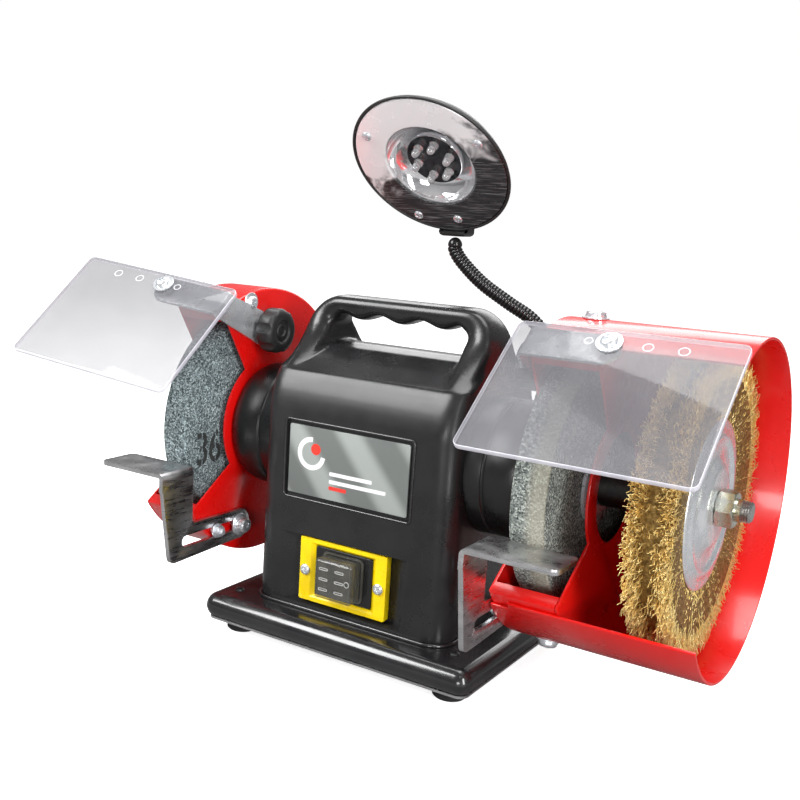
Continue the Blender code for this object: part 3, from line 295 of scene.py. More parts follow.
# %% Paints, plastics and rubber
base_paint = finish("gloss_black_paint", (0.010, 0.010, 0.011), (0.016, 0.016, 0.017), 60.0, (0.16, 0.26),
                    500.0, 0.05, 0.25, coat=0.5, coat_roughness=0.12)
bell_paint = finish("black_casting_paint", (0.008, 0.008, 0.008), None, 60.0, (0.25, 0.4), 700.0, 0.06, 0.3)
moulding = finish("black_moulding", (0.016, 0.016, 0.016), (0.024, 0.024, 0.024), 120.0, (0.36, 0.5), 2500.0,
    0.03, 0.3)
glossy_moulding = finish("gloss_black_moulding", (0.012, 0.012, 0.012), None, 90.0, (0.14, 0.24), 800.0, 0.02, 0.15)
rubber = finish("foot_rubber", (0.012, 0.012, 0.012), (0.03, 0.03, 0.03), 200.0, (0.75, 0.9), 3000.0, 0.05, 0.5)
red_enamel = finish("red_enamel", (0.80, 0.006, 0.004), (0.73, 0.004, 0.003), 18.0, (0.22, 0.32), 350.0, 0.05, 0.2,
                    coat=0.35, coat_roughness=0.1)
yellow = finish("yellow_plastic", (0.98, 0.72, 0.0), (0.92, 0.63, 0.0), 90.0, (0.22, 0.32), 900.0, 0.03, 0.2)
print("paints ready:", len(bpy.data.materials))

# %% [markdown]
# Bare metals take their look from what they reflect, so their gloss matters more than their colour.
# Zinc plate has bluish clouds. The tool rests are cut from rolled sheet, which leaves long fine lines and
# darker stains, made here by stretching the pattern along one direction.

# %% Metals
zinc = finish("zinc_plate", (0.86, 0.88, 0.90), (0.70, 0.73, 0.77), 90.0, (0.18, 0.38), 900.0, 0.02, 0.2,
    metallic=0.72)
zinc_yellow = finish("passivated_zinc", (0.72, 0.72, 0.56), (0.62, 0.64, 0.60), 160.0, (0.18, 0.32), 900.0,
    0.02, 0.2,
                     metallic=1.0)
sheet_steel = finish("rolled_sheet_steel", (0.72, 0.71, 0.72), (0.50, 0.50, 0.51), 55.0, (0.2, 0.42), 260.0,
    0.02, 0.3,
                     stretch=(1.0, 1.0, 9.0), metallic=1.0)
bright_steel = finish("turned_steel", (0.50, 0.49, 0.48), (0.38, 0.37, 0.36), 120.0, (0.2, 0.36), 700.0, 0.02, 0.25,
                      metallic=1.0)
dark_steel = finish("dark_steel", (0.09, 0.085, 0.08), (0.05, 0.05, 0.05), 150.0, (0.3, 0.5), 900.0, 0.03, 0.3,
    metallic=1.0)
laminated = finish("laminated_iron", (0.24, 0.24, 0.25), (0.17, 0.17, 0.18), 60.0, (0.4, 0.6), 400.0, 0.1, 0.5,
                   stretch=(8.0, 1.0, 1.0), metallic=1.0)
copper = finish("enamelled_copper", (0.55, 0.20, 0.07), (0.42, 0.14, 0.05), 80.0, (0.25, 0.4), 600.0, 0.2, 0.6,
    metallic=1.0)
brass = finish("brassed_wire", (1.0, 0.80, 0.36), (0.92, 0.62, 0.18), 110.0, (0.22, 0.36), 900.0, 0.01, 0.1,
    metallic=0.4)
# Painted shade: the packed core wire is coloured far darker than the loose wires, for the shadow deep in the brush.
shaded_brass_core = finish("packed_brass_wire_painted_shade", (0.36, 0.23, 0.07), (0.14, 0.08, 0.02), 420.0, (0.4, 0.6), 700.0, 0.9, 1.0,
                    metallic=0.7)
polished = finish("polished_reflector", (0.92, 0.93, 0.94), (0.84, 0.85, 0.87), 70.0, (0.03, 0.12), 300.0, 0.02,
    0.15,
                  metallic=0.75)
print("metals ready:", len(bpy.data.materials))

# %% [markdown]
# The motor body changes its finish with height: satin with a leathery grain on the shoulders, and glossy
# above the crease and low on the front. A smooth step on the height blends the two, so no seam shows.

# %% The motor body's enamel
def height_mask(nodes, links, heights, values):
    """A mask that runs through the values at the given heights, in millimetres above the bench."""
    where = nodes.new("ShaderNodeTexCoord")
    split = nodes.new("ShaderNodeSeparateXYZ")
    links.new(where.outputs["Object"], split.inputs[0])
    span = nodes.new("ShaderNodeMapRange")
    span.inputs["From Min"].default_value, span.inputs["From Max"].default_value = heights[0] * MM, heights[-1] * MM
    links.new(split.outputs["Z"], span.inputs["Value"])
    ramp = nodes.new("ShaderNodeValToRGB")
    while len(ramp.color_ramp.elements) < len(heights):
        ramp.color_ramp.elements.new(0.5)
    for element, height, value in zip(ramp.color_ramp.elements, heights, values):
        element.position = (height - heights[0]) / (heights[-1] - heights[0])
        element.color = (value, value, value, 1)
    links.new(span.outputs[0], ramp.inputs[0])
    return ramp.outputs["Color"]


def make_body_enamel():
    made = finish("black_body_enamel", (0.010, 0.010, 0.0105), (0.017, 0.017, 0.018), 26.0, (0.3, 0.4), 1400.0, 0.1,
                  0.35, coat=0.15, coat_roughness=0.2)
    nodes, links = made.node_tree.nodes, made.node_tree.links
    shader, varied = nodes["Principled BSDF"], nodes["uneven_surface"]
    shader.inputs["Specular IOR Level"].default_value = 0.38
    satin = height_mask(nodes, links, (24, 60, 118, 150, 172, 178, 222), (0.1, 0.15, 0.35, 1.0, 1.0, 0.0, 0.12))
    duller = nodes.new("ShaderNodeMath")
    duller.operation = "MULTIPLY_ADD"
    duller.inputs[1].default_value = 0.16
    links.new(satin, duller.inputs[0])
    links.new(varied.outputs["Roughness"], duller.inputs[2])
    gloss = nodes.new("ShaderNodeMath")
    gloss.operation = "SUBTRACT"
    gloss.inputs[1].default_value = 0.1
    links.new(duller.outputs[0], gloss.inputs[0])
    links.new(gloss.outputs[0], shader.inputs["Roughness"])
    return made


body_enamel = make_body_enamel()

# %% [markdown]
# A grinding wheel is crushed grit in a glassy bond. Small Voronoi cells each get their own grey or teal,
# with a few pale and a few black grains, and the same cells give the rough relief. A rim that has been
# used is scoured paler in its middle, which a mask on the distance along the shaft adds.

# %% Bonded grit
def make_grit(name, light, dark, tint, band=None):
    made = bpy.data.materials.new(name)
    made.use_nodes = True
    nodes, links = made.node_tree.nodes, made.node_tree.links
    shader = nodes["Principled BSDF"]
    where = nodes.new("ShaderNodeTexCoord")
    grains = nodes.new("ShaderNodeTexVoronoi")
    grains.inputs["Scale"].default_value = 1100.0
    links.new(where.outputs["Object"], grains.inputs["Vector"])
    split = nodes.new("ShaderNodeSeparateColor")
    links.new(grains.outputs["Color"], split.inputs[0])
    ramp = nodes.new("ShaderNodeValToRGB")
    stops = ((0.0, [c * 0.25 for c in dark]), (0.14, dark), (0.5, tint), (0.82, light),
        (1.0, [c * 1.7 for c in light]))
    while len(ramp.color_ramp.elements) < len(stops):
        ramp.color_ramp.elements.new(0.5)
    for element, (position, colour) in zip(ramp.color_ramp.elements, stops):
        element.position, element.color = position, (*colour, 1)
    links.new(split.outputs[0], ramp.inputs[0])
    colour = ramp.outputs["Color"]
    clouds = noise(nodes, links, where.outputs["Object"], 45.0, 4.0, 0.6)
    shade = nodes.new("ShaderNodeMapRange")
    shade.inputs["From Min"].default_value, shade.inputs["From Max"].default_value = 0.3, 0.7
    shade.inputs["To Min"].default_value, shade.inputs["To Max"].default_value = 0.78, 1.15
    links.new(clouds.outputs["Fac"], shade.inputs["Value"])
    shaded = nodes.new("ShaderNodeMix")
    shaded.data_type, shaded.blend_type = "RGBA", "MULTIPLY"
    shaded.inputs["Factor"].default_value = 1.0
    links.new(colour, shaded.inputs["A"])
    links.new(shade.outputs[0], shaded.inputs["B"])
    colour = shaded.outputs["Result"]
    if band:
        along = nodes.new("ShaderNodeSeparateXYZ")
        links.new(where.outputs["Object"], along.inputs[0])
        worn = nodes.new("ShaderNodeMapRange")
        worn.interpolation_type = "SMOOTHSTEP"
        worn.inputs["From Min"].default_value, worn.inputs["From Max"].default_value = band
        links.new(along.outputs["X"], worn.inputs["Value"])
        around = nodes.new("ShaderNodeVectorMath")
        around.operation = "SUBTRACT"
        around.inputs[1].default_value = place(0, 0, SHAFT)
        links.new(where.outputs["Object"], around.inputs[0])
        flat = nodes.new("ShaderNodeVectorMath")
        flat.operation = "MULTIPLY"
        flat.inputs[1].default_value = (0, 1, 1)
        links.new(around.outputs[0], flat.inputs[0])
        far = nodes.new("ShaderNodeVectorMath")
        far.operation = "LENGTH"
        links.new(flat.outputs[0], far.inputs[0])
        rim = nodes.new("ShaderNodeMath")
        rim.operation = "GREATER_THAN"
        rim.inputs[1].default_value = 0.0738
        links.new(far.outputs["Value"], rim.inputs[0])
        both = nodes.new("ShaderNodeMath")
        both.operation = "MULTIPLY"
        links.new(worn.outputs[0], both.inputs[0])
        links.new(rim.outputs[0], both.inputs[1])
        share = nodes.new("ShaderNodeMath")
        share.operation = "MULTIPLY"
        share.inputs[1].default_value = 0.62
        links.new(both.outputs[0], share.inputs[0])
        scoured = nodes.new("ShaderNodeMix")
        scoured.data_type = "RGBA"
        scoured.inputs["B"].default_value = (0.40, 0.38, 0.30, 1)
        links.new(share.outputs[0], scoured.inputs["Factor"])
        links.new(colour, scoured.inputs["A"])
        colour = scoured.outputs["Result"]
    links.new(colour, shader.inputs["Base Color"])
    bump = nodes.new("ShaderNodeBump")
    bump.inputs["Strength"].default_value, bump.inputs["Distance"].default_value = 0.7, 0.35 * MM
    links.new(grains.outputs["Distance"], bump.inputs["Height"])
    links.new(bump.outputs[0], shader.inputs["Normal"])
    shader.inputs["Roughness"].default_value = 0.82
    return made


grit_left = make_grit("teal_grit", (0.30, 0.36, 0.37), (0.055, 0.075, 0.08), (0.14, 0.18, 0.19))
grit_right = make_grit("grey_grit", (0.34, 0.37, 0.34), (0.08, 0.095, 0.09), (0.18, 0.205, 0.19),
                       band=(place(121, 0, 0).x, place(129, 0, 0).x))

# %% [markdown]
# The eye shields are clear cast plastic. Sheet as thin as this bends light very little, so the simple way
# is a low Alpha: the face is a faint grey veil with a sharp reflection. The sawn edges gather light, which
# is painted as a glow: a brighter and more solid plastic of their own. The cover of the switch is softer and
# darker.

# %% Clear plastics
shield_face = finish("clear_sheet", (0.22, 0.22, 0.235), (0.18, 0.18, 0.195), 40.0, (0.04, 0.09), 300.0, 0.01, 0.1,
                     coat=0.3, coat_roughness=0.03, alpha=0.45)
# Painted light: the edges' pale, more solid colour stands for light gathered in the sawn edges.
shield_edge_painted_glow = finish("sheet_edge_painted_glow", (0.86, 0.84, 0.92), (0.72, 0.70, 0.79), 90.0, (0.15, 0.3), 900.0, 0.03, 0.3,
    alpha=0.72)
etched = finish("etched_ring", (0.85, 0.85, 0.87), (0.75, 0.75, 0.77), 400.0, (0.5, 0.6), 2000.0, 0.02, 0.2,
    alpha=0.65)
boot_plastic = finish("clear_boot", (0.16, 0.155, 0.13), (0.10, 0.10, 0.09), 150.0, (0.1, 0.22), 500.0, 0.05, 0.3,
                      coat=0.8, coat_roughness=0.06, alpha=0.34)
boot_mark = finish("boot_relief", (0.62, 0.62, 0.60), (0.4, 0.4, 0.39), 500.0, (0.2, 0.35), 900.0, 0.02, 0.2,
    alpha=0.85)


def make_lens():
    """Clear water-white epoxy, as on a small light-emitting diode."""
    made = finish("diode_lens", (0.93, 0.94, 0.95), (0.86, 0.87, 0.88), 300.0, (0.03, 0.08), 700.0, 0.01, 0.1)
    made.node_tree.nodes["Principled BSDF"].inputs["Transmission Weight"].default_value = 0.75
    return made


lens = make_lens()
diode_board = finish("diode_board", (0.018, 0.02, 0.022), (0.05, 0.055, 0.06), 120.0, (0.06, 0.16), 500.0, 0.02,
    0.15, coat=0.5)

# %% [markdown]
# The name plate is brushed aluminium under a grey print, and its brushed face returns light in two or
# three slanting bands. These bands are painted highlights: a wave pattern across the plate, softened by
# noise, paints them into its colour. The lamp's face plate is mirror steel with fine scratches that run round
# it, and its colour carries a painted reflection: bright clouds towards its top, dark below.

# %% Printed and mirror plates
def banded_painted_highlights(name, dark, light, direction, scale, roughness, metallic):
    made = finish(name, dark, light, 60.0, roughness, 900.0, 0.01, 0.15, stretch=(12.0, 1.0, 1.0),
        metallic=metallic)
    nodes, links = made.node_tree.nodes, made.node_tree.links
    where = nodes.new("ShaderNodeTexCoord")
    turn = nodes.new("ShaderNodeMapping")
    turn.inputs["Rotation"].default_value = [math.radians(angle) for angle in direction]
    wave = nodes.new("ShaderNodeTexWave")
    wave.inputs["Scale"].default_value = scale
    wave.inputs["Distortion"].default_value = 1.6
    wave.inputs["Detail"].default_value = 1.0
    wave.inputs["Detail Scale"].default_value = 0.6
    links.new(where.outputs["Object"], turn.inputs["Vector"])
    links.new(turn.outputs[0], wave.inputs["Vector"])
    soft = nodes.new("ShaderNodeMapRange")
    soft.interpolation_type = "SMOOTHSTEP"
    soft.inputs["From Min"].default_value, soft.inputs["From Max"].default_value = 0.25, 0.95
    links.new(wave.outputs["Fac"], soft.inputs["Value"])
    # Painted highlights: the wave mixes the dark and light colours into slanting bright bands.
    mix = nodes.new("ShaderNodeMix")
    mix.data_type = "RGBA"
    mix.inputs["A"].default_value, mix.inputs["B"].default_value = (*dark, 1), (*light, 1)
    links.new(soft.outputs[0], mix.inputs["Factor"])
    links.new(mix.outputs["Result"], nodes["Principled BSDF"].inputs["Base Color"])
    return made


# The plate's slanting bright bands are painted highlights.
label_face = banded_painted_highlights("brushed_print_painted_bands", (0.20, 0.215, 0.205), (0.42, 0.45, 0.43), (0, 38, 0), 9.0, (0.3, 0.4), 0.35)
mark_white = finish("printed_white", (0.86, 0.86, 0.86), (0.78, 0.78, 0.78), 300.0, (0.35, 0.45))
mark_red = finish("printed_red", (0.78, 0.05, 0.03), (0.7, 0.04, 0.03), 300.0, (0.35, 0.45))
stencil_ink = finish("stencil_ink", (0.012, 0.014, 0.014), (0.045, 0.05, 0.05), 900.0, (0.8, 0.9), 1100.0, 0.3, 0.8)
print("finishes ready:", len(bpy.data.materials))

# %% [markdown]
# ## Ways to shape a piece
# Three ways cover most of this machine. A turned part is a half outline spun round its axis, as on a
# lathe. A plate is an outline that is filled and then pushed to its thickness. Either can then have its
# edges broken with a bevel, since no real edge is perfectly sharp, and holes cut with a Boolean. Before
# each operator everything is deselected, because an operator acts on all that is selected.

# %% Selecting, drawing and spinning
def pick(piece):
    """Leaves edit mode and selects only this piece."""
    if bpy.context.mode != "OBJECT":
        bpy.ops.object.mode_set(mode="OBJECT")
    bpy.ops.object.select_all(action="DESELECT")
    piece.select_set(True)
    bpy.context.view_layer.objects.active = piece
    return piece


def draw(name, points, closed=True):
    """Draws an outline by extruding one point to the next, and fills it if it is closed."""
    pick(floor)
    bpy.ops.object.select_all(action="DESELECT")
    bpy.ops.mesh.primitive_plane_add(size=0.001, location=points[0])
    piece = bpy.context.object
    piece.name = piece.data.name = name
    bpy.ops.object.mode_set(mode="EDIT")
    bpy.ops.mesh.select_all(action="SELECT")
    bpy.ops.mesh.merge(type="CENTER")
    for start, end in zip(points, points[1:]):
        bpy.ops.mesh.extrude_vertices_move(TRANSFORM_OT_translate={"value": end - start})
    if closed:
        bpy.ops.mesh.select_all(action="SELECT")
        bpy.ops.mesh.edge_face_add()
    return piece


def turned(name, outline, centre, axis=(1, 0, 0), steps=64):
    """Spins an outline of (distance along the axis, radius), in millimetres, about the axis."""
    along = Vector(axis).normalized()
    across = along.orthogonal().normalized()
    points = [centre + (along * a + across * r) * MM for a, r in outline]
    piece = draw(name, points, closed=False)
    bpy.ops.mesh.select_all(action="SELECT")
    bpy.ops.mesh.spin(steps=steps, angle=math.tau, center=centre, axis=along)
    bpy.ops.mesh.select_all(action="SELECT")
    bpy.ops.mesh.remove_doubles(threshold=2e-6)
    bpy.ops.mesh.normals_make_consistent(inside=False)
    return pick(piece)


def plate(name, outline, axis, low, high):
    """Pushes a filled outline to its thickness. The outline holds the two coordinates other than the axis's."""
    def at(a, b, c):
        return place(*{"X": (c, a, b), "Y": (a, c, b), "Z": (a, b, c)}[axis])
    piece = draw(name, [at(a, b, low) for a, b in outline])
    push = at(0, 0, high) - at(0, 0, low)
    bpy.ops.mesh.select_all(action="SELECT")
    bpy.ops.mesh.extrude_region_move(TRANSFORM_OT_translate={"value": push})
    bpy.ops.mesh.select_all(action="SELECT")
    bpy.ops.mesh.normals_make_consistent(inside=False)
    return pick(piece)


def apply_all(piece):
    pick(piece)
    for step in list(piece.modifiers):
        bpy.ops.object.modifier_apply(modifier=step.name)
    return piece


def soften(piece, width, segments=2, angle=35.0):
    """Breaks every edge sharper than the angle. The width is in millimetres."""
    step = piece.modifiers.new("broken_edges", "BEVEL")
    step.width, step.segments, step.limit_method = width * MM, segments, "ANGLE"
    step.angle_limit, step.harden_normals = math.radians(angle), False
    return apply_all(piece)


def cut(piece, tool, operation="DIFFERENCE"):
    """Cuts with the tool, or welds it on, and then throws the tool away."""
    step = piece.modifiers.new("cut", "BOOLEAN")
    step.object, step.operation, step.solver = tool, operation, "EXACT"
    apply_all(piece)
    bpy.data.objects.remove(tool, do_unlink=True)
    return piece


def weld(first, *others):
    """Joins pieces into one object without cutting them."""
    pick(first)
    for other in others:
        other.select_set(True)
    bpy.ops.object.join()
    return pick(first)


def ready(piece, body, material, slot_name, *nodes, smooth=32.0):
    """Puts the piece's place in its mesh, gives it its finish and fixes it to its moving group."""
    pick(piece)
    bpy.ops.object.transform_apply(location=True, rotation=True, scale=True)
    bpy.ops.object.shade_smooth_by_angle(angle=math.radians(smooth))
    for step in list(piece.modifiers):
        bpy.ops.object.modifier_apply(modifier=step.name)
    if material is not None:
        piece.data.materials.clear()
        piece.data.materials.append(material)
    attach(piece, body)
    if nodes:
        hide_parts(*nodes)
    print(piece.name, len(piece.data.polygons), "faces")
    return piece


# %% [markdown]
# Outlines repeat too: a rectangle with rounded corners for plates and recesses, and an arc about the
# shaft for the guards. Angles about the shaft are counted upwards from straight ahead.

# %% Outlines
def rounded(a0, a1, b0, b1, radius, steps=6):
    points = []
    for ca, cb, start in ((a1 - radius, b0 + radius, -90), (a1 - radius, b1 - radius, 0),
                          (a0 + radius, b1 - radius, 90), (a0 + radius, b0 + radius, 180)):
        for i in range(steps + 1):
            turn = math.radians(start + 90 * i / steps)
            points.append((ca + radius * math.cos(turn), cb + radius * math.sin(turn)))
    return points


def about_shaft(radius, angle):
    turn = math.radians(angle)
    return -radius * math.cos(turn), SHAFT + radius * math.sin(turn)


def arc(radius, start, end, steps):
    return [about_shaft(radius, start + (end - start) * i / steps) for i in range(steps + 1)]


def span(side, low, high):
    """A stretch along the shaft on the right, or its mirror image on the left."""
    return (low, high) if side > 0 else (-high, -low)


SIDES = ((-1, "left"), (1, "right"))

# %% [markdown]
# ## Base
# The base is a shallow black box of pressed steel with rounded upright corners and a softly rolled top
# edge. We take a cube of its measured size, bevel the four upright edges first and the top rim after
# them, and sink the underside a little so that the bottom plate sits inside the skirt.

# %% Base pan
def bevel_where(piece, test, width, segments):
    """Bevels the edges whose middle passes the test, in edit mode. The test gets millimetres."""
    pick(piece)
    origin = Vector((MIDDLE.x, MIDDLE.y, 0))
    for edge in piece.data.edges:
        ends = [(piece.matrix_world @ piece.data.vertices[i].co - origin) / MM for i in edge.vertices]
        edge.select = test(*ends)
    for polygon in piece.data.polygons:
        polygon.select = False
    chosen = [edge.select for edge in piece.data.edges]
    for vertex in piece.data.vertices:
        vertex.select = False
    for edge, wanted in zip(piece.data.edges, chosen):
        edge.select = wanted
    bpy.ops.object.mode_set(mode="EDIT")
    bpy.ops.mesh.select_mode(use_extend=False, use_expand=False, type="EDGE")
    bpy.ops.mesh.bevel(offset=width * MM, segments=segments, profile=0.5, affect="EDGES")
    bpy.ops.mesh.select_mode(use_extend=False, use_expand=False, type="VERT")
    return pick(piece)


def block(name, low, high):
    """A cube primitive added at its size and place."""
    pick(floor)
    bpy.ops.object.select_all(action="DESELECT")
    bottom, top = place(*low), place(*high)
    bpy.ops.mesh.primitive_cube_add(size=1, location=(bottom + top) / 2, scale=top - bottom)
    piece = bpy.context.object
    piece.name = piece.data.name = name
    bpy.ops.object.transform_apply(location=True, rotation=True, scale=True)
    return piece


PAN_LOW, PAN_HIGH = measured("base_pan")
pan = block("base_shell", PAN_LOW, PAN_HIGH)
bevel_where(pan, lambda a, b: abs(a.z - b.z) > 5, 9.0, 8)
bevel_where(pan, lambda a, b: min(a.z, b.z) > PAN_HIGH.z - 0.1, 3.2, 5)
skirt = block("skirt_inside", PAN_LOW + Vector((2.6, 2.6, -1)),
    (PAN_HIGH.x - 2.6, PAN_HIGH.y - 2.6, PAN_LOW.z + 3.4))
bevel_where(skirt, lambda a, b: abs(a.z - b.z) > 2, 6.5, 6)
cut(pan, skirt)
ready(soften(pan, 0.5, 2, 50), "grinder_frame", base_paint, "black_gloss_paint", "base_pan")

# %% [markdown]
# Four rubber feet lift the pan. Each is turned, with a rounded tread and a slight waist, and is made once
# and copied to the other corners, each copy with its own mesh.

# %% Feet
def copied(piece, name, move):
    """A copy with its own mesh, moved by millimetres."""
    twin = piece.copy()
    twin.data = piece.data.copy()
    twin.name = twin.data.name = name
    bpy.context.scene.collection.objects.link(twin)
    twin.location = twin.location + Vector(move) * MM
    return twin


def centre_of(node):
    low, high = measured(node)
    return (low + high) / 2


first_foot = centre_of("foot_front_left")
foot_outline = [(0, 0), (0, 7.5), (0.4, 9.3), (1.5, 10.4), (3.2, 10.5), (4.4, 9.6), (6.0, 9.4), (7.9, 10.0),
    (7.9, 0)]
foot = turned("foot_pad_front_left", foot_outline, place(first_foot.x, first_foot.y, 0), (0, 0, 1), 40)
for corner in ("front_right", "back_left", "back_right"):
    other = centre_of(f"foot_{corner}")
    twin = copied(foot, f"foot_pad_{corner}", (other.x - first_foot.x, other.y - first_foot.y, 0))
    ready(twin, "grinder_frame", rubber, "black_rubber", f"foot_{corner}")
ready(foot, "grinder_frame", rubber, "black_rubber", "foot_front_left")

# %% [markdown]
# Small screws hold the machine together, nearly all with a crossed slot. A pan head is a turned dome, and
# the cross is cut by two thin blocks. The slot faces along the screw, so the screw is modelled upright
# first and then turned to its direction. Washers and a toothed ring go under the heads that have them.

# %% Crosshead screws
def crosshead(name, radius, height, washer=0.0, spring=False):
    """An upright screw head at the origin, with its seat at height 0, in millimetres."""
    base = 0.0
    extra = []
    origin = Vector((0, 0, 0))
    if washer:
        ring = [(0, radius * 0.5), (0, washer), (0.25, washer + 0.15), (0.95, washer + 0.1),
            (1.1, washer - 0.1), (1.1, radius * 0.5)]
        extra.append(turned(name + "_washer", ring + ring[:1], origin, (0, 0, 1), 36))
        base = 1.1
    if spring:
        coil = [(base, radius * 0.5), (base, washer - 1.6), (base + 1.3, washer - 1.6), (base + 1.3, radius * 0.5)]
        split = turned(name + "_spring", coil + coil[:1], origin, (0, 0, 1), 36)
        gap = plate_at_origin(name + "_gap", (washer, 0.7, 4), (washer / 2, 0, base + 1))
        extra.append(cut(split, gap))
        base += 1.3
    dome = [(base, 0), (base, radius), (base + height * 0.45, radius), (base + height * 0.8, radius * 0.8),
            (base + height, radius * 0.42), (base + height, 0)]
    head = turned(name, dome, origin, (0, 0, 1), 36)
    for turn in (0, 90):
        slot = plate_at_origin(name + "_slot", (radius * 1.15, radius * 0.26, height), (0, 0, base + height * 0.95))
        slot.rotation_euler = (0, 0, math.radians(turn + 20))
        cut(head, slot)
    soften(head, 0.12, 1, 30)
    return weld(head, *extra) if extra else head


def plate_at_origin(name, size, at):
    pick(floor)
    bpy.ops.object.select_all(action="DESELECT")
    bpy.ops.mesh.primitive_cube_add(size=1, location=Vector(at) * MM, scale=Vector(size) * MM)
    bpy.context.object.name = name
    return bpy.context.object


def stand(piece, at, direction):
    """Turns an upright piece to a direction and puts its seat at a place."""
    pick(piece)
    bpy.ops.object.transform_apply(location=True, rotation=True, scale=True)
    piece.matrix_world = Matrix.Translation(at) @ Vector(direction).to_track_quat("Z", "Y").to_matrix().to_4x4()
    bpy.ops.object.transform_apply(location=True, rotation=True, scale=True)
    return piece


for side, name in SIDES:
    screw = crosshead(f"base_screw_{name}", 3.0, 1.3)
    stand(screw, place(side * 80 - 2, -53 + side, PAN_HIGH.z - 0.1), (0, 0, 1))
    ready(screw, "grinder_frame", bell_paint, "black_gloss_paint")

# %% [markdown]
# ## Motor body
# The body and its carrying handle are one smooth moulded skin, with the legs of the handle flowing into
# the shoulders. No single primitive is close to that. It can be lofted: outlines are set one above
# another and joined with walls. The handle is a second loft along a bent path, and a voxel remesh then
# melts the two into one skin, which a few passes of smoothing give its soft creases.

# %% Lofting outlines
def loft(name, rings):
    """Walls between outlines of equal length, with the first and the last one capped."""
    count = len(rings[0])
    points = [point for ring in rings for point in ring]
    faces = [list(range(count)), [len(points) - count + i for i in range(count)]]
    for level in range(len(rings) - 1):
        start = level * count
        faces += [[start + i, start + (i + 1) % count, start + count + (i + 1) % count, start + count + i]
                  for i in range(count)]
    mesh = bpy.data.meshes.new(name)
    mesh.from_pydata(points, [], faces)
    piece = bpy.data.objects.new(name, mesh)
    bpy.context.scene.collection.objects.link(piece)
    pick(piece)
    bpy.ops.object.mode_set(mode="EDIT")
    bpy.ops.mesh.select_all(action="SELECT")
    bpy.ops.mesh.normals_make_consistent(inside=False)
    return pick(piece)


LABEL_LOW, LABEL_HIGH = measured("label_plate")
BEZEL_LOW, BEZEL_HIGH = measured("switch_bezel")
HALF, FRONT, BACK, CREASE, RIDGE, GRIP_TOP = 70.5, 54.4, 62.0, SHAFT + 47.9, SHAFT + 62.9, SHAFT + 92.9
BODY_LOW = measured("motor_housing")[0].z


def level(z, half, front, back, corner):
    return [place(x, y, z) for x, y in rounded(-half, half, -front, back, corner, 8)]


def body_levels():
    """Outlines from the bead at the foot up to the ledge behind the finger gap."""
    yield level(BODY_LOW, HALF, FRONT, BACK, 14)
    yield level(CREASE - 60, HALF - 0.3, FRONT - 0.4, BACK - 0.4, 14)
    for i in range(9):
        t = i / 8
        draw_in = 10.5 * t ** 2.2
        yield level(CREASE - 32 + 32 * t, HALF - 0.6 - t, FRONT - 0.8 - draw_in, BACK - 0.8 - draw_in, 14 - 4 * t)
    yield level(CREASE + 7, HALF - 2.2, FRONT - 27, BACK - 27, 8)
    yield level(RIDGE - 2, HALF - 3, FRONT - 42, BACK - 42, 5)
    yield level(RIDGE, HALF - 4, 1.2, 8.8, 3)


def handle_rings():
    """Cross-sections of the handle: wide and deep where it leaves a shoulder, slim and waved at the grip."""
    leg_x, grip_z, bend = HALF - 12.5, GRIP_TOP - 6.5, 15.0
    stations = [(Vector((-leg_x, 0, CREASE - 12 + 34 * i / 10)), 90.0) for i in range(11)]
    for i in range(9):
        angle = 90.0 * (1 - (i + 1) / 9)
        turn = math.radians(angle)
        stations.append((Vector((-leg_x + bend * (1 - math.sin(turn)), 0,
            grip_z - bend * (1 - math.cos(turn)))), angle))
    flat = leg_x - bend
    stations += [(Vector((-flat + 2 * flat * i / 48, 0, grip_z)), 0.0) for i in range(1, 48)]
    stations += [(Vector((-at.x, 0, at.z)), -angle) for at, angle in reversed(stations[:20])]
    rings = []
    for at, angle in stations:
        rise = max(0.0, min(1.0, (at.z - CREASE) / (grip_z - CREASE)))
        half_depth = 13.0 + 34.2 * (1 - rise) ** 1.7
        middle = 3.0 + 0.8 * (1 - rise)
        lean = abs(angle) / 90
        outside = 10.0 * lean + 6.5 * (1 - lean)
        inside = outside + (2.2 * math.cos(2 * math.pi * at.x / 30.0) if angle == 0.0 else 0.0)
        turn = math.radians(angle)
        out = Vector((-math.sin(turn), 0, math.cos(turn)))
        ring = []
        for i in range(32):
            sweep = math.tau * (i + 0.5) / 32
            a, b = math.cos(sweep), math.sin(sweep)
            squareness = max(abs(a), abs(b)) ** 0.55
            reach = outside if a > 0 else inside
            ring.append(place(*(at + Vector((0, middle + b / squareness * half_depth,
                0)) + out * (a / squareness * reach))))
        rings.append(ring)
    return rings


skin = cut(loft("motor_body", list(body_levels())), loft("handle_form", handle_rings()), "UNION")
pick(skin)
melt = skin.modifiers.new("melt", "REMESH")
melt.mode, melt.voxel_size, melt.adaptivity = "VOXEL", 1.35 * MM, 0.0
calm = skin.modifiers.new("calm", "SMOOTH")
calm.factor, calm.iterations = 0.5, 7
apply_all(skin)
print("melted skin:", len(skin.data.polygons), "faces")

# %% [markdown]
# With the outer skin done, the openings are cut: a hollow inside, round mouths for the two end bells, a
# shallow recess for the name plate, and a deeper recess with slanting sides for the switch. The label
# recess gets a thin raised frame, and a bead closes the joint between the body and its base.

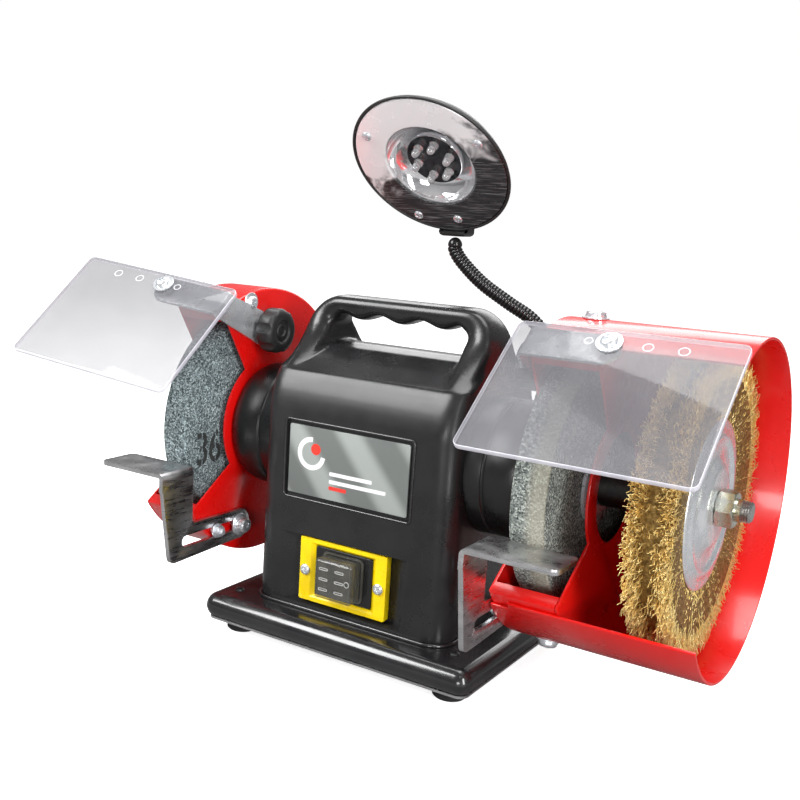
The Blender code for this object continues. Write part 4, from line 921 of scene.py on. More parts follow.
# %% Hollow, recesses and beads
hollow = [level(BODY_LOW - 6, HALF - 3, FRONT - 10, BACK - 3, 11), level(76.5, HALF - 3, FRONT - 10, BACK - 3, 11),
          level(79.5, HALF - 3, FRONT - 3.8, BACK - 3, 11),
          level(CREASE - 30, HALF - 3.8, FRONT - 4.2, BACK - 4.2, 11),
          level(CREASE - 14, HALF - 4.2, FRONT - 9, BACK - 8, 11),
          level(CREASE - 1, HALF - 5, FRONT - 20, BACK - 20, 8),
          level(RIDGE - 5, HALF - 6, FRONT - 37, BACK - 37, 5)]
cut(skin, loft("hollow", hollow))
for side, name in SIDES:
    mouth = [(a, r) for a, r in ((HALF - 12, 0), (HALF - 12, 42.3), (HALF + 8, 42.3), (HALF + 8, 0))]
    cut(skin, turned("mouth", [(side * a, r) for a, r in mouth], place(0, 0, SHAFT), steps=64))
recess = rounded(LABEL_LOW.x - 2.2, LABEL_HIGH.x + 2.2, LABEL_LOW.z - 2.2, LABEL_HIGH.z + 2.2, 2.0, 3)
cut(skin, plate("label_recess", recess, "Y", -FRONT - 8, -FRONT + 2.1))
mid_x, mid_z = (BEZEL_LOW.x + BEZEL_HIGH.x) / 2, (BEZEL_LOW.z + BEZEL_HIGH.z) / 2


def recess_ring(y, half_top, half_bottom, low, high):
    return [place(mid_x - half_top, y, high), place(mid_x + half_top, y, high),
            place(mid_x + half_bottom, y, low), place(mid_x - half_bottom, y, low)]


cut(skin, loft("switch_recess", [recess_ring(-FRONT - 6, 53, 50, 28.5, 75),
    recess_ring(-FRONT, 47.5, 44.5, 29.5, 74.5),
                                 recess_ring(-FRONT + 7, 37, 35.5, 30.5, 74.3)]))
cut(skin, plate("switch_opening", [(mid_x - 21.3, mid_z - 16.3), (mid_x + 21.3, mid_z - 16.3),
    (mid_x + 21.3, mid_z + 16.3),
                                   (mid_x - 21.3, mid_z + 16.3)], "Y", -FRONT, -FRONT + 14))
ready(skin, "grinder_frame", body_enamel, "black_satin_enamel", "motor_housing", smooth=38)


def bead(name, points, radius, material, body, slot_name, closed=True, sides=4):
    """A thin round bead along a line: the line becomes a curve with a bevel, and then a mesh again."""
    line = draw(name, points, closed=False)
    if closed:
        bpy.ops.mesh.select_all(action="DESELECT")
        pick(line)
        line.data.vertices[0].select = line.data.vertices[len(points) - 1].select = True
        bpy.ops.object.mode_set(mode="EDIT")
        bpy.ops.mesh.edge_face_add()
    pick(line)
    bpy.ops.object.convert(target="CURVE")
    line.data.bevel_depth, line.data.bevel_resolution = radius * MM, sides
    line.data.use_fill_caps = not closed
    bpy.ops.object.convert(target="MESH")
    return ready(line, body, material, slot_name, smooth=60) if material else line


frame_line = rounded(LABEL_LOW.x - 3.0, LABEL_HIGH.x + 3.0, LABEL_LOW.z - 3.0, LABEL_HIGH.z + 3.0, 2.4, 4)
bead("label_frame", [place(x, -FRONT + 0.45, z) for x, z in frame_line], 0.75, base_paint, "grinder_frame",
    "black_satin_enamel")
foot_line = rounded(-HALF - 0.4, HALF + 0.4, -FRONT - 0.4, BACK + 0.4, 14.4, 8)
bead("body_bead", [place(x, y, PAN_HIGH.z + 0.9) for x, y in foot_line], 1.15, base_paint, "grinder_frame",
    "black_satin_enamel")

# %% [markdown]
# The two end bells are turned castings that carry the bearings. Only their collars show, between the body
# and the guards, as dark steps with a machined face.

# %% End bells
for side, name in SIDES:
    bell = [(62.2, 44), (65.2, 44), (65.2, 42), (80, 42), (80.6, 41.2), (82, 41.2), (82.6, 42), (95, 42),
        (100, 41.2),
            (104, 39.6), (106.7, 37), (106.7, 26), (105.6, 25.2), (105.6, 14), (106.7, 13), (106.7, 9.5),
            (99.4, 9.5),
            (99.4, 17.8), (86, 17.8), (86, 21.5), (103, 21.5), (103, 35), (97, 39), (62.2, 39)]
    shape = [(side * a, r) for a, r in bell]
    piece = turned(f"bell_casting_{name}", shape + shape[:1], place(0, 0, SHAFT), steps=72)
    ready(soften(piece, 0.25, 1, 40), "grinder_frame", bell_paint, "black_casting", f"end_bell_{name}")

# %% [markdown]
# ## Name plate
# The plate is thin sheet with slightly rounded corners. What is printed on it is a plain ring with a red
# dot and a few bars, each a film a few hundredths of a millimetre thick, so that it names nobody.

# %% Name plate and its print
sheet = plate("name_plate", rounded(LABEL_LOW.x, LABEL_HIGH.x, LABEL_LOW.z, LABEL_HIGH.z, 1.2, 4), "Y",
              LABEL_LOW.y, LABEL_HIGH.y)
ready(soften(sheet, 0.2, 2), "grinder_frame", label_face, "brushed_label", "label_plate")
FILM = LABEL_LOW.y - 0.06


def film(name, outline, material, slot_name="brushed_label"):
    return ready(plate(name, outline, "Y", FILM, FILM + 0.05), "grinder_frame", material, slot_name)


def disc_outline(x, z, radius, steps=40, start=0.0, end=360.0):
    return [(x + radius * math.cos(math.radians(start + (end - start) * i / steps)),
             z + radius * math.sin(math.radians(start + (end - start) * i / steps))) for i in range(steps)]


ring_x, ring_z = LABEL_LOW.x + 17, LABEL_LOW.z + 27
badge = plate("badge_ring", disc_outline(ring_x, ring_z, 10.5), "Y", FILM, FILM + 0.05)
cut(badge, plate("badge_hole", disc_outline(ring_x, ring_z, 7.3), "Y", FILM - 1, FILM + 1))
cut(badge, plate("badge_gap", [(ring_x, ring_z), (ring_x + 14, ring_z - 2), (ring_x + 14, ring_z + 14),
    (ring_x + 1, ring_z + 14)],
                 "Y", FILM - 1, FILM + 1))
ready(badge, "grinder_frame", mark_white, "brushed_label")
film("badge_dot", disc_outline(ring_x + 3.2, ring_z + 3.2, 3.6, 28), mark_red)
for index, (start, end, height, colour) in enumerate(((31, 62, 15.5, mark_white), (31, 72, 10.5, mark_white),
        (31, 44, 6.5, mark_red))):
    outline = rounded(LABEL_LOW.x + start, LABEL_LOW.x + end, LABEL_LOW.z + height, LABEL_LOW.z + height + 2.4,
        0.8, 3)
    film(f"badge_bar_{index + 1}", outline, colour)

# %% [markdown]
# ## Switch
# A yellow bezel holds a black rocker under a clear boot. The boot is a soft box with
# raised marks: six small ovals where the rocker's lamps and ribs show, and one ring.

# %% Bezel, rocker housing and screws
corner = [(BEZEL_LOW.x + 4, BEZEL_HIGH.z), (BEZEL_LOW.x, BEZEL_HIGH.z - 4)]
outer = [p for p in rounded(BEZEL_LOW.x, BEZEL_HIGH.x, BEZEL_LOW.z, BEZEL_HIGH.z, 1.2, 3)]
bezel = plate("bezel_frame", outer, "Y", BEZEL_LOW.y, BEZEL_HIGH.y)
cut(bezel, plate("bezel_window", rounded(mid_x - 21.3, mid_x + 21.3, mid_z - 16.3, mid_z + 16.3, 0.8, 2), "Y",
                 BEZEL_LOW.y - 3, BEZEL_HIGH.y + 3))
flare = loft("bezel_flare", [[place(mid_x - 24.5, BEZEL_LOW.y - 0.5, mid_z - 18.4),
    place(mid_x + 24.5, BEZEL_LOW.y - 0.5, mid_z - 18.4),
                              place(mid_x + 24.5, BEZEL_LOW.y - 0.5, mid_z + 18.4),
                              place(mid_x - 24.5, BEZEL_LOW.y - 0.5, mid_z + 18.4)],
                             [place(mid_x - 21, BEZEL_LOW.y + 2.4, mid_z - 16),
                             place(mid_x + 21, BEZEL_LOW.y + 2.4, mid_z - 16),
                              place(mid_x + 21, BEZEL_LOW.y + 2.4, mid_z + 16),
                              place(mid_x - 21, BEZEL_LOW.y + 2.4, mid_z + 16)]])
cut(bezel, flare)
ready(soften(bezel, 0.45, 3, 30), "grinder_frame", yellow, "yellow_plastic", "switch_bezel")
BODY = measured("switch_body")
housing = plate("switch_case", rounded(BODY[0].x, BODY[1].x, BODY[0].z, BODY[1].z, 1.5, 3), "Y", BODY[0].y,
    BODY[1].y)
cut(housing, plate("case_pocket", rounded(mid_x - 10, mid_x + 10, mid_z - 11, mid_z + 11, 1, 2), "Y",
    BODY[0].y - 3, BODY[0].y + 10.5))
ready(soften(housing, 0.5, 3), "grinder_frame", glossy_moulding, "black_moulding", "switch_body")
for x in (BEZEL_LOW.x + 4.4, BEZEL_HIGH.x - 5.2):
    screw = crosshead(f"bezel_screw_{'left' if x < mid_x else 'right'}", 3.5, 1.8)
    ready(stand(screw, place(x, BEZEL_LOW.y, mid_z - 0.8), (0, -1, 0)), "grinder_frame", zinc, "zinc_plate")

# %% Rocker and its clear boot
ROCKER = measured("switch_rocker")
top_z, low_z = ROCKER[1].z, ROCKER[0].z
curve = [(ROCKER[0].y + 4.2 - 0.42 * i + 0.016 * i * i, low_z + (top_z - low_z) * i / 12) for i in range(13)]
rocker = plate("rocker_button", curve + [(ROCKER[1].y - 3, top_z - 0.6), (ROCKER[1].y, mid_z),
    (ROCKER[1].y - 3, low_z + 0.6)],
               "X", ROCKER[0].x, ROCKER[1].x)
ready(soften(rocker, 0.6, 3), "rocker", glossy_moulding, "black_moulding", "switch_rocker")
BOOT = measured("switch_boot")
boot = block("boot_cover", BOOT[0], BOOT[1])
bevel_where(boot, lambda a, b: abs(a.y - b.y) > 5, 2.6, 5)
bevel_where(boot, lambda a, b: max(a.y, b.y) < BOOT[0].y + 0.1, 1.6, 4)
inside = block("boot_inside", BOOT[0] + Vector((1.3, 1.3, 1.3)), BOOT[1] + Vector((-1.3, 2, -1.3)))
bevel_where(inside, lambda a, b: abs(a.y - b.y) > 5, 1.6, 4)
cut(boot, inside)
lip = plate("boot_lip", rounded(BOOT[0].x - 1.2, BOOT[1].x + 1.2, BOOT[0].z - 1.2, BOOT[1].z + 1.2, 3, 4), "Y",
    BOOT[1].y - 1.0, BOOT[1].y)
cut(lip, plate("boot_lip_hole", rounded(BOOT[0].x, BOOT[1].x, BOOT[0].z, BOOT[1].z, 2.4, 4), "Y", BOOT[1].y - 3,
    BOOT[1].y + 2))
ready(weld(boot, lip), "grinder_frame", boot_plastic, "clear_soft_cover", "switch_boot")


def oval(x, z, half_length, half_height):
    points = []
    for i in range(24):
        turn = math.tau * i / 24
        bulge = half_length - half_height
        points.append((x + half_height * math.cos(turn) + (bulge if math.cos(turn) > 0 else -bulge),
            z + half_height * math.sin(turn)))
    return points


marks = []
boot_x, boot_z = (BOOT[0].x + BOOT[1].x) / 2, (BOOT[0].z + BOOT[1].z) / 2
for x in (-6.6, 5.0):
    for z in (7.0, 0.4, -6.2):
        ring = plate("boot_mark", oval(boot_x + x, boot_z + z, 3.3, 0.85), "Y", BOOT[0].y - 0.25, BOOT[0].y + 0.1)
        marks.append(cut(ring, plate("mark_hole", oval(boot_x + x, boot_z + z, 2.8, 0.4), "Y", BOOT[0].y - 2,
            BOOT[0].y + 2)))
ring = plate("boot_ring", disc_outline(boot_x + 10.6, boot_z + 0.8, 1.9, 24), "Y", BOOT[0].y - 0.25,
    BOOT[0].y + 0.1)
marks.append(cut(ring, plate("mark_hole", disc_outline(boot_x + 10.6, boot_z + 0.8, 1.5, 24), "Y",
    BOOT[0].y - 2, BOOT[0].y + 2)))
ready(weld(*marks), "grinder_frame", boot_mark, "clear_soft_cover")

# %% [markdown]
# ## Guards
# Each guard is a pressed shell: a side plate against the motor, with its front cut back to a smaller arc,
# and a band that runs round the wheel and ends in two lips. The plate is pushed out to the full depth,
# its outer corner is rolled over with a bevel, and a second plate is cut out of it to leave the sheet.

# %% Guard shells
PIVOT_Y, PIVOT_RISE = -10.4, 65.0     # the pivot of a shield, from the shaft
GUARD_LOW, GUARD_HIGH = measured("guard_right")
GUARD, SHEET, GUARD_LIP, GUARD_CUT = GUARD_HIGH.z - SHAFT, 1.5, 84.2, 45.0
OPEN_LOW, OPEN_HIGH = -34.0, 57.5
SKIN = math.degrees(SHEET / GUARD)


def reach(point):
    return math.hypot(point.y, point.z - SHAFT)


def disc_hole(piece, x_low, x_high, y, z, radius, steps=48):
    bore = [(x_low, 0), (x_low, radius), (x_high, radius), (x_high, 0)]
    return cut(piece, turned("bore", bore, place(0, y, z), steps=steps))


guard_plate = arc(GUARD, OPEN_HIGH, 360 + OPEN_LOW, 110) + arc(GUARD_CUT, OPEN_LOW, OPEN_HIGH, 36)
guard_room = (arc(GUARD - SHEET, OPEN_HIGH + SKIN, 360 + OPEN_LOW - SKIN, 110)
              + arc(GUARD_LIP, OPEN_LOW - SKIN, OPEN_HIGH + SKIN, 48))
for side, name in SIDES:
    start, end = side * GUARD_LOW.x, side * GUARD_HIGH.x
    shell = plate(f"guard_shell_{name}", guard_plate, "X", *span(side, GUARD_LOW.x, GUARD_HIGH.x))
    bevel_where(shell, lambda a, b: max(abs(a.x - start), abs(b.x - start)) < 0.1 and min(reach(a),
        reach(b)) > GUARD - 0.2, 1.8, 4)
    cut(shell, plate("guard_room", guard_room, "X", *span(side, GUARD_LOW.x + SHEET, GUARD_HIGH.x + 5)))
    holes = span(side, GUARD_LOW.x - 3, GUARD_LOW.x + 4)
    disc_hole(shell, *holes, 0, SHAFT, 27)
    disc_hole(shell, *holes, PIVOT_Y, SHAFT + PIVOT_RISE, 2.9, 16)
    disc_hole(shell, *holes, -31, SHAFT - 68.1, 2.9, 16)
    ready(soften(shell, 0.3, 2, 50), "grinder_frame", red_enamel, "red_enamel", f"guard_{name}")

# %% [markdown]
# A flat cover closes each guard on its far side. The right one doubles as the wall between the wheel and
# the brush, so it has a wide hole for the sleeve. Where a wheel is open to the front the cover is cut back too.

# %% Guard covers
for side, name in SIDES:
    low, high = measured(f"guard_cover_{name}")
    cover = plate(f"guard_wall_{name}", guard_plate, "X", low.x, high.x)
    if side > 0:
        disc_hole(cover, low.x - 3, high.x + 3, 0, SHAFT, 32)
    ready(soften(cover, 0.35, 2, 40), "grinder_frame", red_enamel, "red_enamel", f"guard_cover_{name}")

# %% [markdown]
# ## Brush drum
# The drum is one rolled sheet round the right guard that runs on past it and covers the brush. Its front
# lower corner next to the motor is rounded off, which takes a cutter set square to the sheet: a corner
# block less a quarter circle, given as two outlines, one inside the sheet and one outside it.

# %% Drum sheet
DRUM_LOW, DRUM_HIGH = measured("brush_drum")
DRUM_IN, DRUM_OUT, DRUM_OPEN_LOW, DRUM_OPEN_HIGH = GUARD + 0.3, GUARD + 1.8, -37.0, 63.0
rolled = (arc(DRUM_OUT, DRUM_OPEN_HIGH, 360 + DRUM_OPEN_LOW, 150)
          + arc(DRUM_IN, 360 + DRUM_OPEN_LOW, DRUM_OPEN_HIGH, 150))
drum = plate("drum_sheet", rolled, "X", DRUM_LOW.x, DRUM_HIGH.x)


def corner_cutter(x, toward, angle, sweep, radius):
    """A cutter that rounds the corner of the sheet at x, at this angle about the shaft."""
    turn = math.radians(angle)
    outward = Vector((0, -math.cos(turn), math.sin(turn)))
    upward = Vector((0, math.sin(turn), math.cos(turn))) * sweep
    rings = []
    for distance in (DRUM_IN - 6, DRUM_OUT + 6):
        middle = Vector((x + toward * radius, 0, SHAFT)) + outward * distance + upward * radius
        ring = [Vector((x - toward * 4, 0, SHAFT)) + outward * distance - upward * 4]
        ring.append(ring[0] + upward * (4 + radius))
        for i in range(13):
            a = math.radians(90 * i / 12)
            ring.append(middle - Vector((toward * radius * math.cos(a), 0, 0)) - upward * radius * math.sin(a))
        ring.append(ring[0] + Vector((toward * (4 + radius), 0, 0)))
        rings.append([place(*point) for point in ring])
    return loft("corner_cutter", rings)


cut(drum, corner_cutter(DRUM_LOW.x, 1, DRUM_OPEN_LOW, 1, 11.0))
cut(drum, corner_cutter(DRUM_LOW.x, 1, DRUM_OPEN_HIGH, -1, 4.0))
ready(soften(drum, 0.35, 2, 50), "grinder_frame", red_enamel, "red_enamel", "brush_drum")


def hexagon(name, low, high, across, axis, centre, turn, hole=0.0):
    """A hexagon nut or head with turned chamfers, from low to high along the axis through the centre."""
    corner = across / math.sqrt(3)
    along = Vector(axis)
    blank = turned(name, [(low, 0), (low, corner), (high, corner), (high, 0)], centre, axis, 6)
    bpy.ops.object.transform_apply(location=True, rotation=True, scale=True)
    blank.matrix_world = (Matrix.Translation(centre) @ Matrix.Rotation(math.radians(turn), 4, along)
                          @ Matrix.Translation(-centre))
    bpy.ops.object.transform_apply(location=True, rotation=True, scale=True)
    chamfer = [(low, 0), (low, across * 0.49), (low + across * 0.05, corner + 0.05),
               (high - across * 0.05, corner + 0.05), (high, across * 0.49), (high, 0)]
    cut(blank, turned("chamfer", chamfer, centre, axis, 48), "INTERSECT")
    if hole:
        cut(blank, turned("thread_hole", [(low - 3, 0), (low - 3, hole), (high + 3, hole), (high + 3, 0)],
            centre, axis, 40))
    return soften(blank, 0.15, 2, 25)


for where, angle in (("top", 92.0), ("bottom", -76.0)):
    y, z = about_shaft(1.0, angle)
    out = Vector((0, y, z - SHAFT))
    seat = place(centre_of(f"drum_screw_{where}").x, 0, SHAFT) + out * DRUM_OUT * MM
    head = stand(crosshead(f"drum_bolt_{where}", 5.6, 3.0, washer=7.6, spring=True), seat, out)
    shank = turned("shank", [(-8.6, 0), (-8.6, 2.2), (-8.2, 2.6), (0.2, 2.6), (0.2, 0)], seat, out, 20)
    inner_nut = hexagon("inner_nut", -6.2, -3.2, 8.0, out, seat, 10, 2.6)
    ready(weld(head, shank, inner_nut), "grinder_frame", zinc, "zinc_plate", f"drum_screw_{where}")

# %% [markdown]
# ## Grinding wheels
# A wheel is turned with its two rims lightly broken. The left one carries a grit number, sprayed through a
# stencil on the face next to the motor. It starts as text, is pushed out to a film and gets the bridges
# that a stencil leaves.

# %% Wheels and stencilled number
for side, name in SIDES:
    low, high = measured(f"wheel_{name}")
    a0, a1 = (low.x, high.x)
    wheel_outline = [(a0, 6.3), (a0, 73.9), (a0 + 0.35, 74.6), (a0 + 1.1, 75), (a1 - 1.1, 75), (a1 - 0.35, 74.6),
                     (a1, 73.9), (a1, 6.3)]
    wheel = turned(f"grindstone_{name}", wheel_outline + wheel_outline[:1], place(0, 0, SHAFT), steps=128)
    ready(wheel, "rotor", grit_left if side < 0 else grit_right, "grey_abrasive", f"wheel_{name}")

pick(floor)
bpy.ops.object.select_all(action="DESELECT")
bpy.ops.object.text_add(location=(0, 0, 0))
number = bpy.context.object
number.name = "grit_number"
number.data.body, number.data.size, number.data.extrude, number.data.offset = "36", 31 * MM, 0.03 * MM, 0.35 * MM
number.data.align_x, number.data.align_y = "CENTER", "CENTER"
number.data.space_character = 0.95
bpy.ops.object.convert(target="MESH")
pick(number)
bpy.ops.object.transform_apply(location=True, rotation=True, scale=True)
for x in (-7.6, 7.9):
    cut(number, plate_at_origin("bridge", (1.4, 60, 4), (x, 0, 0)))
face_x = measured("wheel_left")[1].x
across, upright = Vector((0, 1, 0.03)).normalized(), Vector((0, -0.03, 1)).normalized()
turn = Matrix((across, upright, Vector((1, 0, 0)))).transposed().to_4x4()
number.matrix_world = Matrix.Translation(place(face_x + 0.03, -52.0,
    SHAFT - 14.0)) @ turn @ Matrix.Diagonal((0.86, 1.0, 1.0, 1.0))
ready(number, "rotor", stencil_ink, "grey_abrasive")

# %% [markdown]
# ## Shaft and clamping parts
# The shaft runs the whole length, with a core seat in the middle, two shoulders and a threaded end. The
# thread is turned as rings, since a helix of that pitch can't be told from them. Flanges, sleeve and nuts
# are turned as well. A hexagon is a six-sided turning cut to a chamfered round one.

# %% Shaft, flanges, sleeve and nuts
SHAFT_LOW, SHAFT_HIGH = measured("shaft")
shoulder, core_seat, right_end = 110.4, 40.0, SHAFT_HIGH.x
bar = [(SHAFT_LOW.x, 0), (SHAFT_LOW.x, 5.2), (SHAFT_LOW.x + 0.8, 6), (-shoulder, 6), (-shoulder, 7.1),
    (-shoulder + 0.4, 7.5),
       (-core_seat, 7.5), (-core_seat, 9), (core_seat, 9), (core_seat, 7.5), (shoulder - 0.4, 7.5), (shoulder, 7.1),
       (shoulder, 6), (right_end - 9.4, 6)]
pitch = 1.35
for i in range(6):
    x = right_end - 9.2 + i * pitch
    bar += [(x + pitch * 0.12, 6.0), (x + pitch * 0.5, 5.25), (x + pitch * 0.6, 5.25), (x + pitch * 0.98, 6.0)]
bar += [(right_end - 0.9, 5.7), (right_end, 4.9), (right_end, 0)]
shaft = turned("threaded_shaft", bar, place(0, 0, SHAFT), steps=56)
ready(shaft, "rotor", bright_steel, "bright_steel", "shaft", smooth=40)

for side, name in SIDES:
    for where in ("inner", "outer"):
        low, high = measured(f"flange_{name}_{where}")
        faces_up = (where == "outer") == (side > 0)
        wheel_side, free_side = (low.x, high.x) if faces_up else (high.x, low.x)
        way = 1 if faces_up else -1
        cup = [(wheel_side, 25), (wheel_side + way * 1.6, 25), (wheel_side + way * 2.2, 24.2), (free_side, 15),
            (free_side, 6.3),
               (wheel_side + way * 1.0, 6.3), (wheel_side + way * 1.0, 18.5), (wheel_side, 19)]
        flange = turned(f"clamp_flange_{name}_{where}", cup + cup[:1], place(0, 0, SHAFT), steps=64)
        ready(flange, "rotor", zinc, "zinc_plate", f"flange_{name}_{where}")

low, high = measured("brush_sleeve")
tube = [(low.x, 6.3), (low.x, 11.2), (low.x + 0.8, 12), (high.x, 12), (high.x, 6.3)]
ready(turned("spacer_sleeve", tube + tube[:1], place(0, 0, SHAFT), steps=48), "rotor", dark_steel, "zinc_plate",
    "brush_sleeve")
for name, colour in (("left", zinc), ("right", zinc_yellow)):
    low, high = measured(f"nut_{name}")
    made = hexagon(f"hex_nut_{name}", low.x, high.x, 19.0, (1, 0, 0), place(0, 0, SHAFT), 14, 6.3)
    ready(made, "rotor", colour, "zinc_plate", f"nut_{name}", smooth=25)

# %% [markdown]
# ## Wire brush
# Two pressed discs clamp the wires at their root. They have a rolled rim, a stiffening ring and a raised
# hub. Between them lies a turned core, which stands for the imported inner wires and keeps light from
# shining through. Its brass is much darker than the loose wires: painted shade, for the shadow deep in the brush.

# %% Brush discs and core
CORE_LOW, CORE_HIGH = 183.0, 198.0
for where, way, start, bore in (("inner", -1, CORE_LOW - 0.3, 12.3), ("outer", 1, CORE_HIGH + 0.3, 6.3)):
    pressed = [(0, 47.4), (0.5, 47.7), (1.1, 47.4), (1.4, 46.4), (1.2, 43.8), (1.4, 41.6), (2.3, 40.2), (2.9, 38.4),
               (2.5, 36.6), (1.6, 35.2), (1.4, 33.5), (1.5, 28.5), (2.1, 26.4), (3.6, 23.8), (4.5, 21.6),
               (4.7, 19.6),
               (4.7, bore), (0, bore)]
    disc = turned(f"brush_disc_{where}", [(start + way * a, r) for a, r in pressed + pressed[:1]],
        place(0, 0, SHAFT), steps=80)
    ready(disc, "rotor", zinc, "zinc_plate", f"brush_flange_{where}", smooth=50)
packed = [(CORE_LOW, 12.3), (CORE_LOW, 46), (180.9, 58), (179.6, 70), (181.5, 74.5), (190.5, 76), (199.5, 74.5),
    (201.4, 70),
          (200.1, 58), (CORE_HIGH, 46), (CORE_HIGH, 12.3)]
# Its dark brass is painted shade.
core = turned("packed_wires", packed + packed[:1], place(0, 0, SHAFT), steps=96)
ready(core, "rotor", shaded_brass_core, "brass_wire", "brush_wires")

# %% [markdown]
# The loose outer wires can't be pulled from a primitive one by one, so they are computed. Each one is a
# thin three-sided rod that zigzags as crimped wire does, leaves the rim at its own angle and ends at its
# own length. Most of them start near the two sides of the brush, where they are seen. They are split over
# three pieces to keep each one small, and a fixed seed makes every run the same.

# %% Crimped wires
BRUSH_MIDDLE = 190.5


def crimped_wires(name, count, seed):
    pick_from = np.random.default_rng(seed)
    steps, sides = 15, 3
    along = np.linspace(0.0, 1.0, steps)[None, :]
    angle = pick_from.uniform(0, math.tau, (count, 1)) + pick_from.normal(0, 0.05, (count, 1)) * along
    angle = angle + pick_from.normal(0, 0.045, (count, 1)) * along ** 2
    edge = pick_from.choice([-1.0, 1.0], (count, 1)) * pick_from.beta(3.0, 1.0, (count, 1))
    tip = 78.5 + 9.6 * pick_from.beta(1.9, 1.5, (count, 1)) - 2.0 * np.abs(edge)
    radius = 44.0 + (tip - 44.0) * along
    x = BRUSH_MIDDLE + edge * (7.0 + 4.6 * along ** 0.8) + pick_from.normal(0, 0.9, (count, 1)) * along ** 1.5
    zigzag = np.where(np.arange(steps) % 2 == 0, 1.0, -1.0)[None, :] * pick_from.uniform(0.45, 0.95, (count, steps))
    lean = pick_from.uniform(0, math.tau, (count, 1))
    x = x + zigzag * np.cos(lean)
    sideways = zigzag * np.sin(lean) + pick_from.normal(0, 0.25, (count, steps))
    angle = angle + sideways / radius
    line = np.stack([x, -radius * np.cos(angle), SHAFT + radius * np.sin(angle)], axis=2)
    forward = np.gradient(line, axis=1)
    forward /= np.linalg.norm(forward, axis=2, keepdims=True)
    first = np.cross(forward, [1.0, 0.0, 0.0])
    first /= np.linalg.norm(first, axis=2, keepdims=True)
    second = np.cross(forward, first)
    thick = pick_from.uniform(0.2, 0.29, (count, 1, 1))
    turns = math.tau * np.arange(sides) / sides
    rings = [line + thick * (first * math.cos(t) + second * math.sin(t)) for t in turns]
    points = np.stack(rings, axis=2).reshape(-1, 3) * MM + np.array([MIDDLE.x, MIDDLE.y, 0.0])
    index = np.arange(count * steps * sides).reshape(count, steps, sides)
    near, far = index[:, :-1, :], index[:, 1:, :]
    walls = np.stack([near, np.roll(near, -1, axis=2), np.roll(far, -1, axis=2), far], axis=3).reshape(-1, 4)
    ends = np.concatenate([index[:, 0, ::-1], index[:, -1, :]])
    mesh = bpy.data.meshes.new(name)
    mesh.from_pydata(points.tolist(), [], walls.tolist() + ends.tolist())
    piece = bpy.data.objects.new(name, mesh)
    bpy.context.scene.collection.objects.link(piece)
    pick(piece)
    bpy.ops.object.shade_smooth()
    piece.data.materials.append(brass)
    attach(piece, "rotor")
    return piece


for index in range(3):
    tuft = crimped_wires(f"loose_wires_{index + 1}", 2100, 40 + index)
    print(tuft.name, len(tuft.data.polygons), "faces")

# %% [markdown]
# ## Eye shields
# A shield slopes down to the front at 39 degrees, so its outlines are given on the slope: how far along
# the shaft, how far down and how far above its underside. The left one hangs on a strip that isn't bent
# quite square, which lifts and swings everything it carries.

# %% Places on the slope
SLOPE = math.radians(39.0)
LEG_X, SHIELD_START, SHIELD_WIDE, SHIELD_LONG, SHIELD_THICK = 104.3, 99.0, 122.0, 92.0, 3.0


def on_slope(side, x, down, rise=0.0):
    return place(side * x, -44.5 - down * math.cos(SLOPE) - rise * math.sin(SLOPE),
                 SHAFT + 91.4 - down * math.sin(SLOPE) + rise * math.cos(SLOPE))


def slope_plate(name, outline, low, high, side):
    return loft(name, [[on_slope(side, x, down, rise) for x, down in outline] for rise in (low, high)])


def bend_left(piece, side):
    """Lifts and swings what hangs on the left strip, about the corner of the strip."""
    if side > 0:
        return piece
    corner = on_slope(side, LEG_X, 10.5)
    swing = Matrix.Rotation(math.radians(6.5), 4, "Y") @ Matrix.Rotation(math.radians(6.0), 4, "Z")
    pick(piece)
    bpy.ops.object.transform_apply(location=True, rotation=True, scale=True)
    piece.matrix_world = Matrix.Translation(corner) @ swing @ Matrix.Translation(-corner)
    bpy.ops.object.transform_apply(location=True, rotation=True, scale=True)
    return piece


SLOPE_OUT = Vector((0, -math.sin(SLOPE), math.cos(SLOPE)))

# %% Shields
HOLE_LINE = 9.6     # how far down the shield its screw and its rings sit
for side, name in SIDES:
    outline = rounded(SHIELD_START, SHIELD_START + SHIELD_WIDE, 0, SHIELD_LONG, 4.0, 6)
    sheet = slope_plate(f"clear_shield_{name}", outline, 0, SHIELD_THICK, side)
    body = f"shield_{name}"
    ready(bend_left(soften(sheet, 0.35, 2), side), body, shield_face, "clear_acrylic", f"eye_shield_{name}")
    # The edge faces get the painted glow of gathered light.
    sheet.data.materials.append(shield_edge_painted_glow)
    broad = max(sheet.data.polygons, key=lambda face: face.area).normal.copy()
    for face in sheet.data.polygons:
        face.material_index = 0 if abs(face.normal.dot(broad)) > 0.99 else 1
    rings = []
    for x, radius in ((141.4, 2.5), (172.6, 2.9), (190.6, 3.0)):
        circle = disc_outline(x, HOLE_LINE, radius, 28)
        inner = disc_outline(x, HOLE_LINE, radius - 0.55, 28)
        ring = slope_plate("etched_ring", circle, SHIELD_THICK + 0.02, SHIELD_THICK + 0.07, side)
        rings.append(cut(ring, slope_plate("ring_middle", inner, SHIELD_THICK - 1, SHIELD_THICK + 1, side)))
    ready(bend_left(weld(*rings), side), body, etched, "clear_acrylic")
    rings[0].name = f"etched_rings_{name}"

# %% [markdown]
# The bracket of a shield is one zinc-plated strip with a bend in it. Its upper arm lies under the shield
# and has a rounded end, its leg runs down the guard to the pivot. The bent profile is lofted, trimmed to
# the arm's outline, and joined to the leg.

# %% Shield brackets
THICK = 1.8


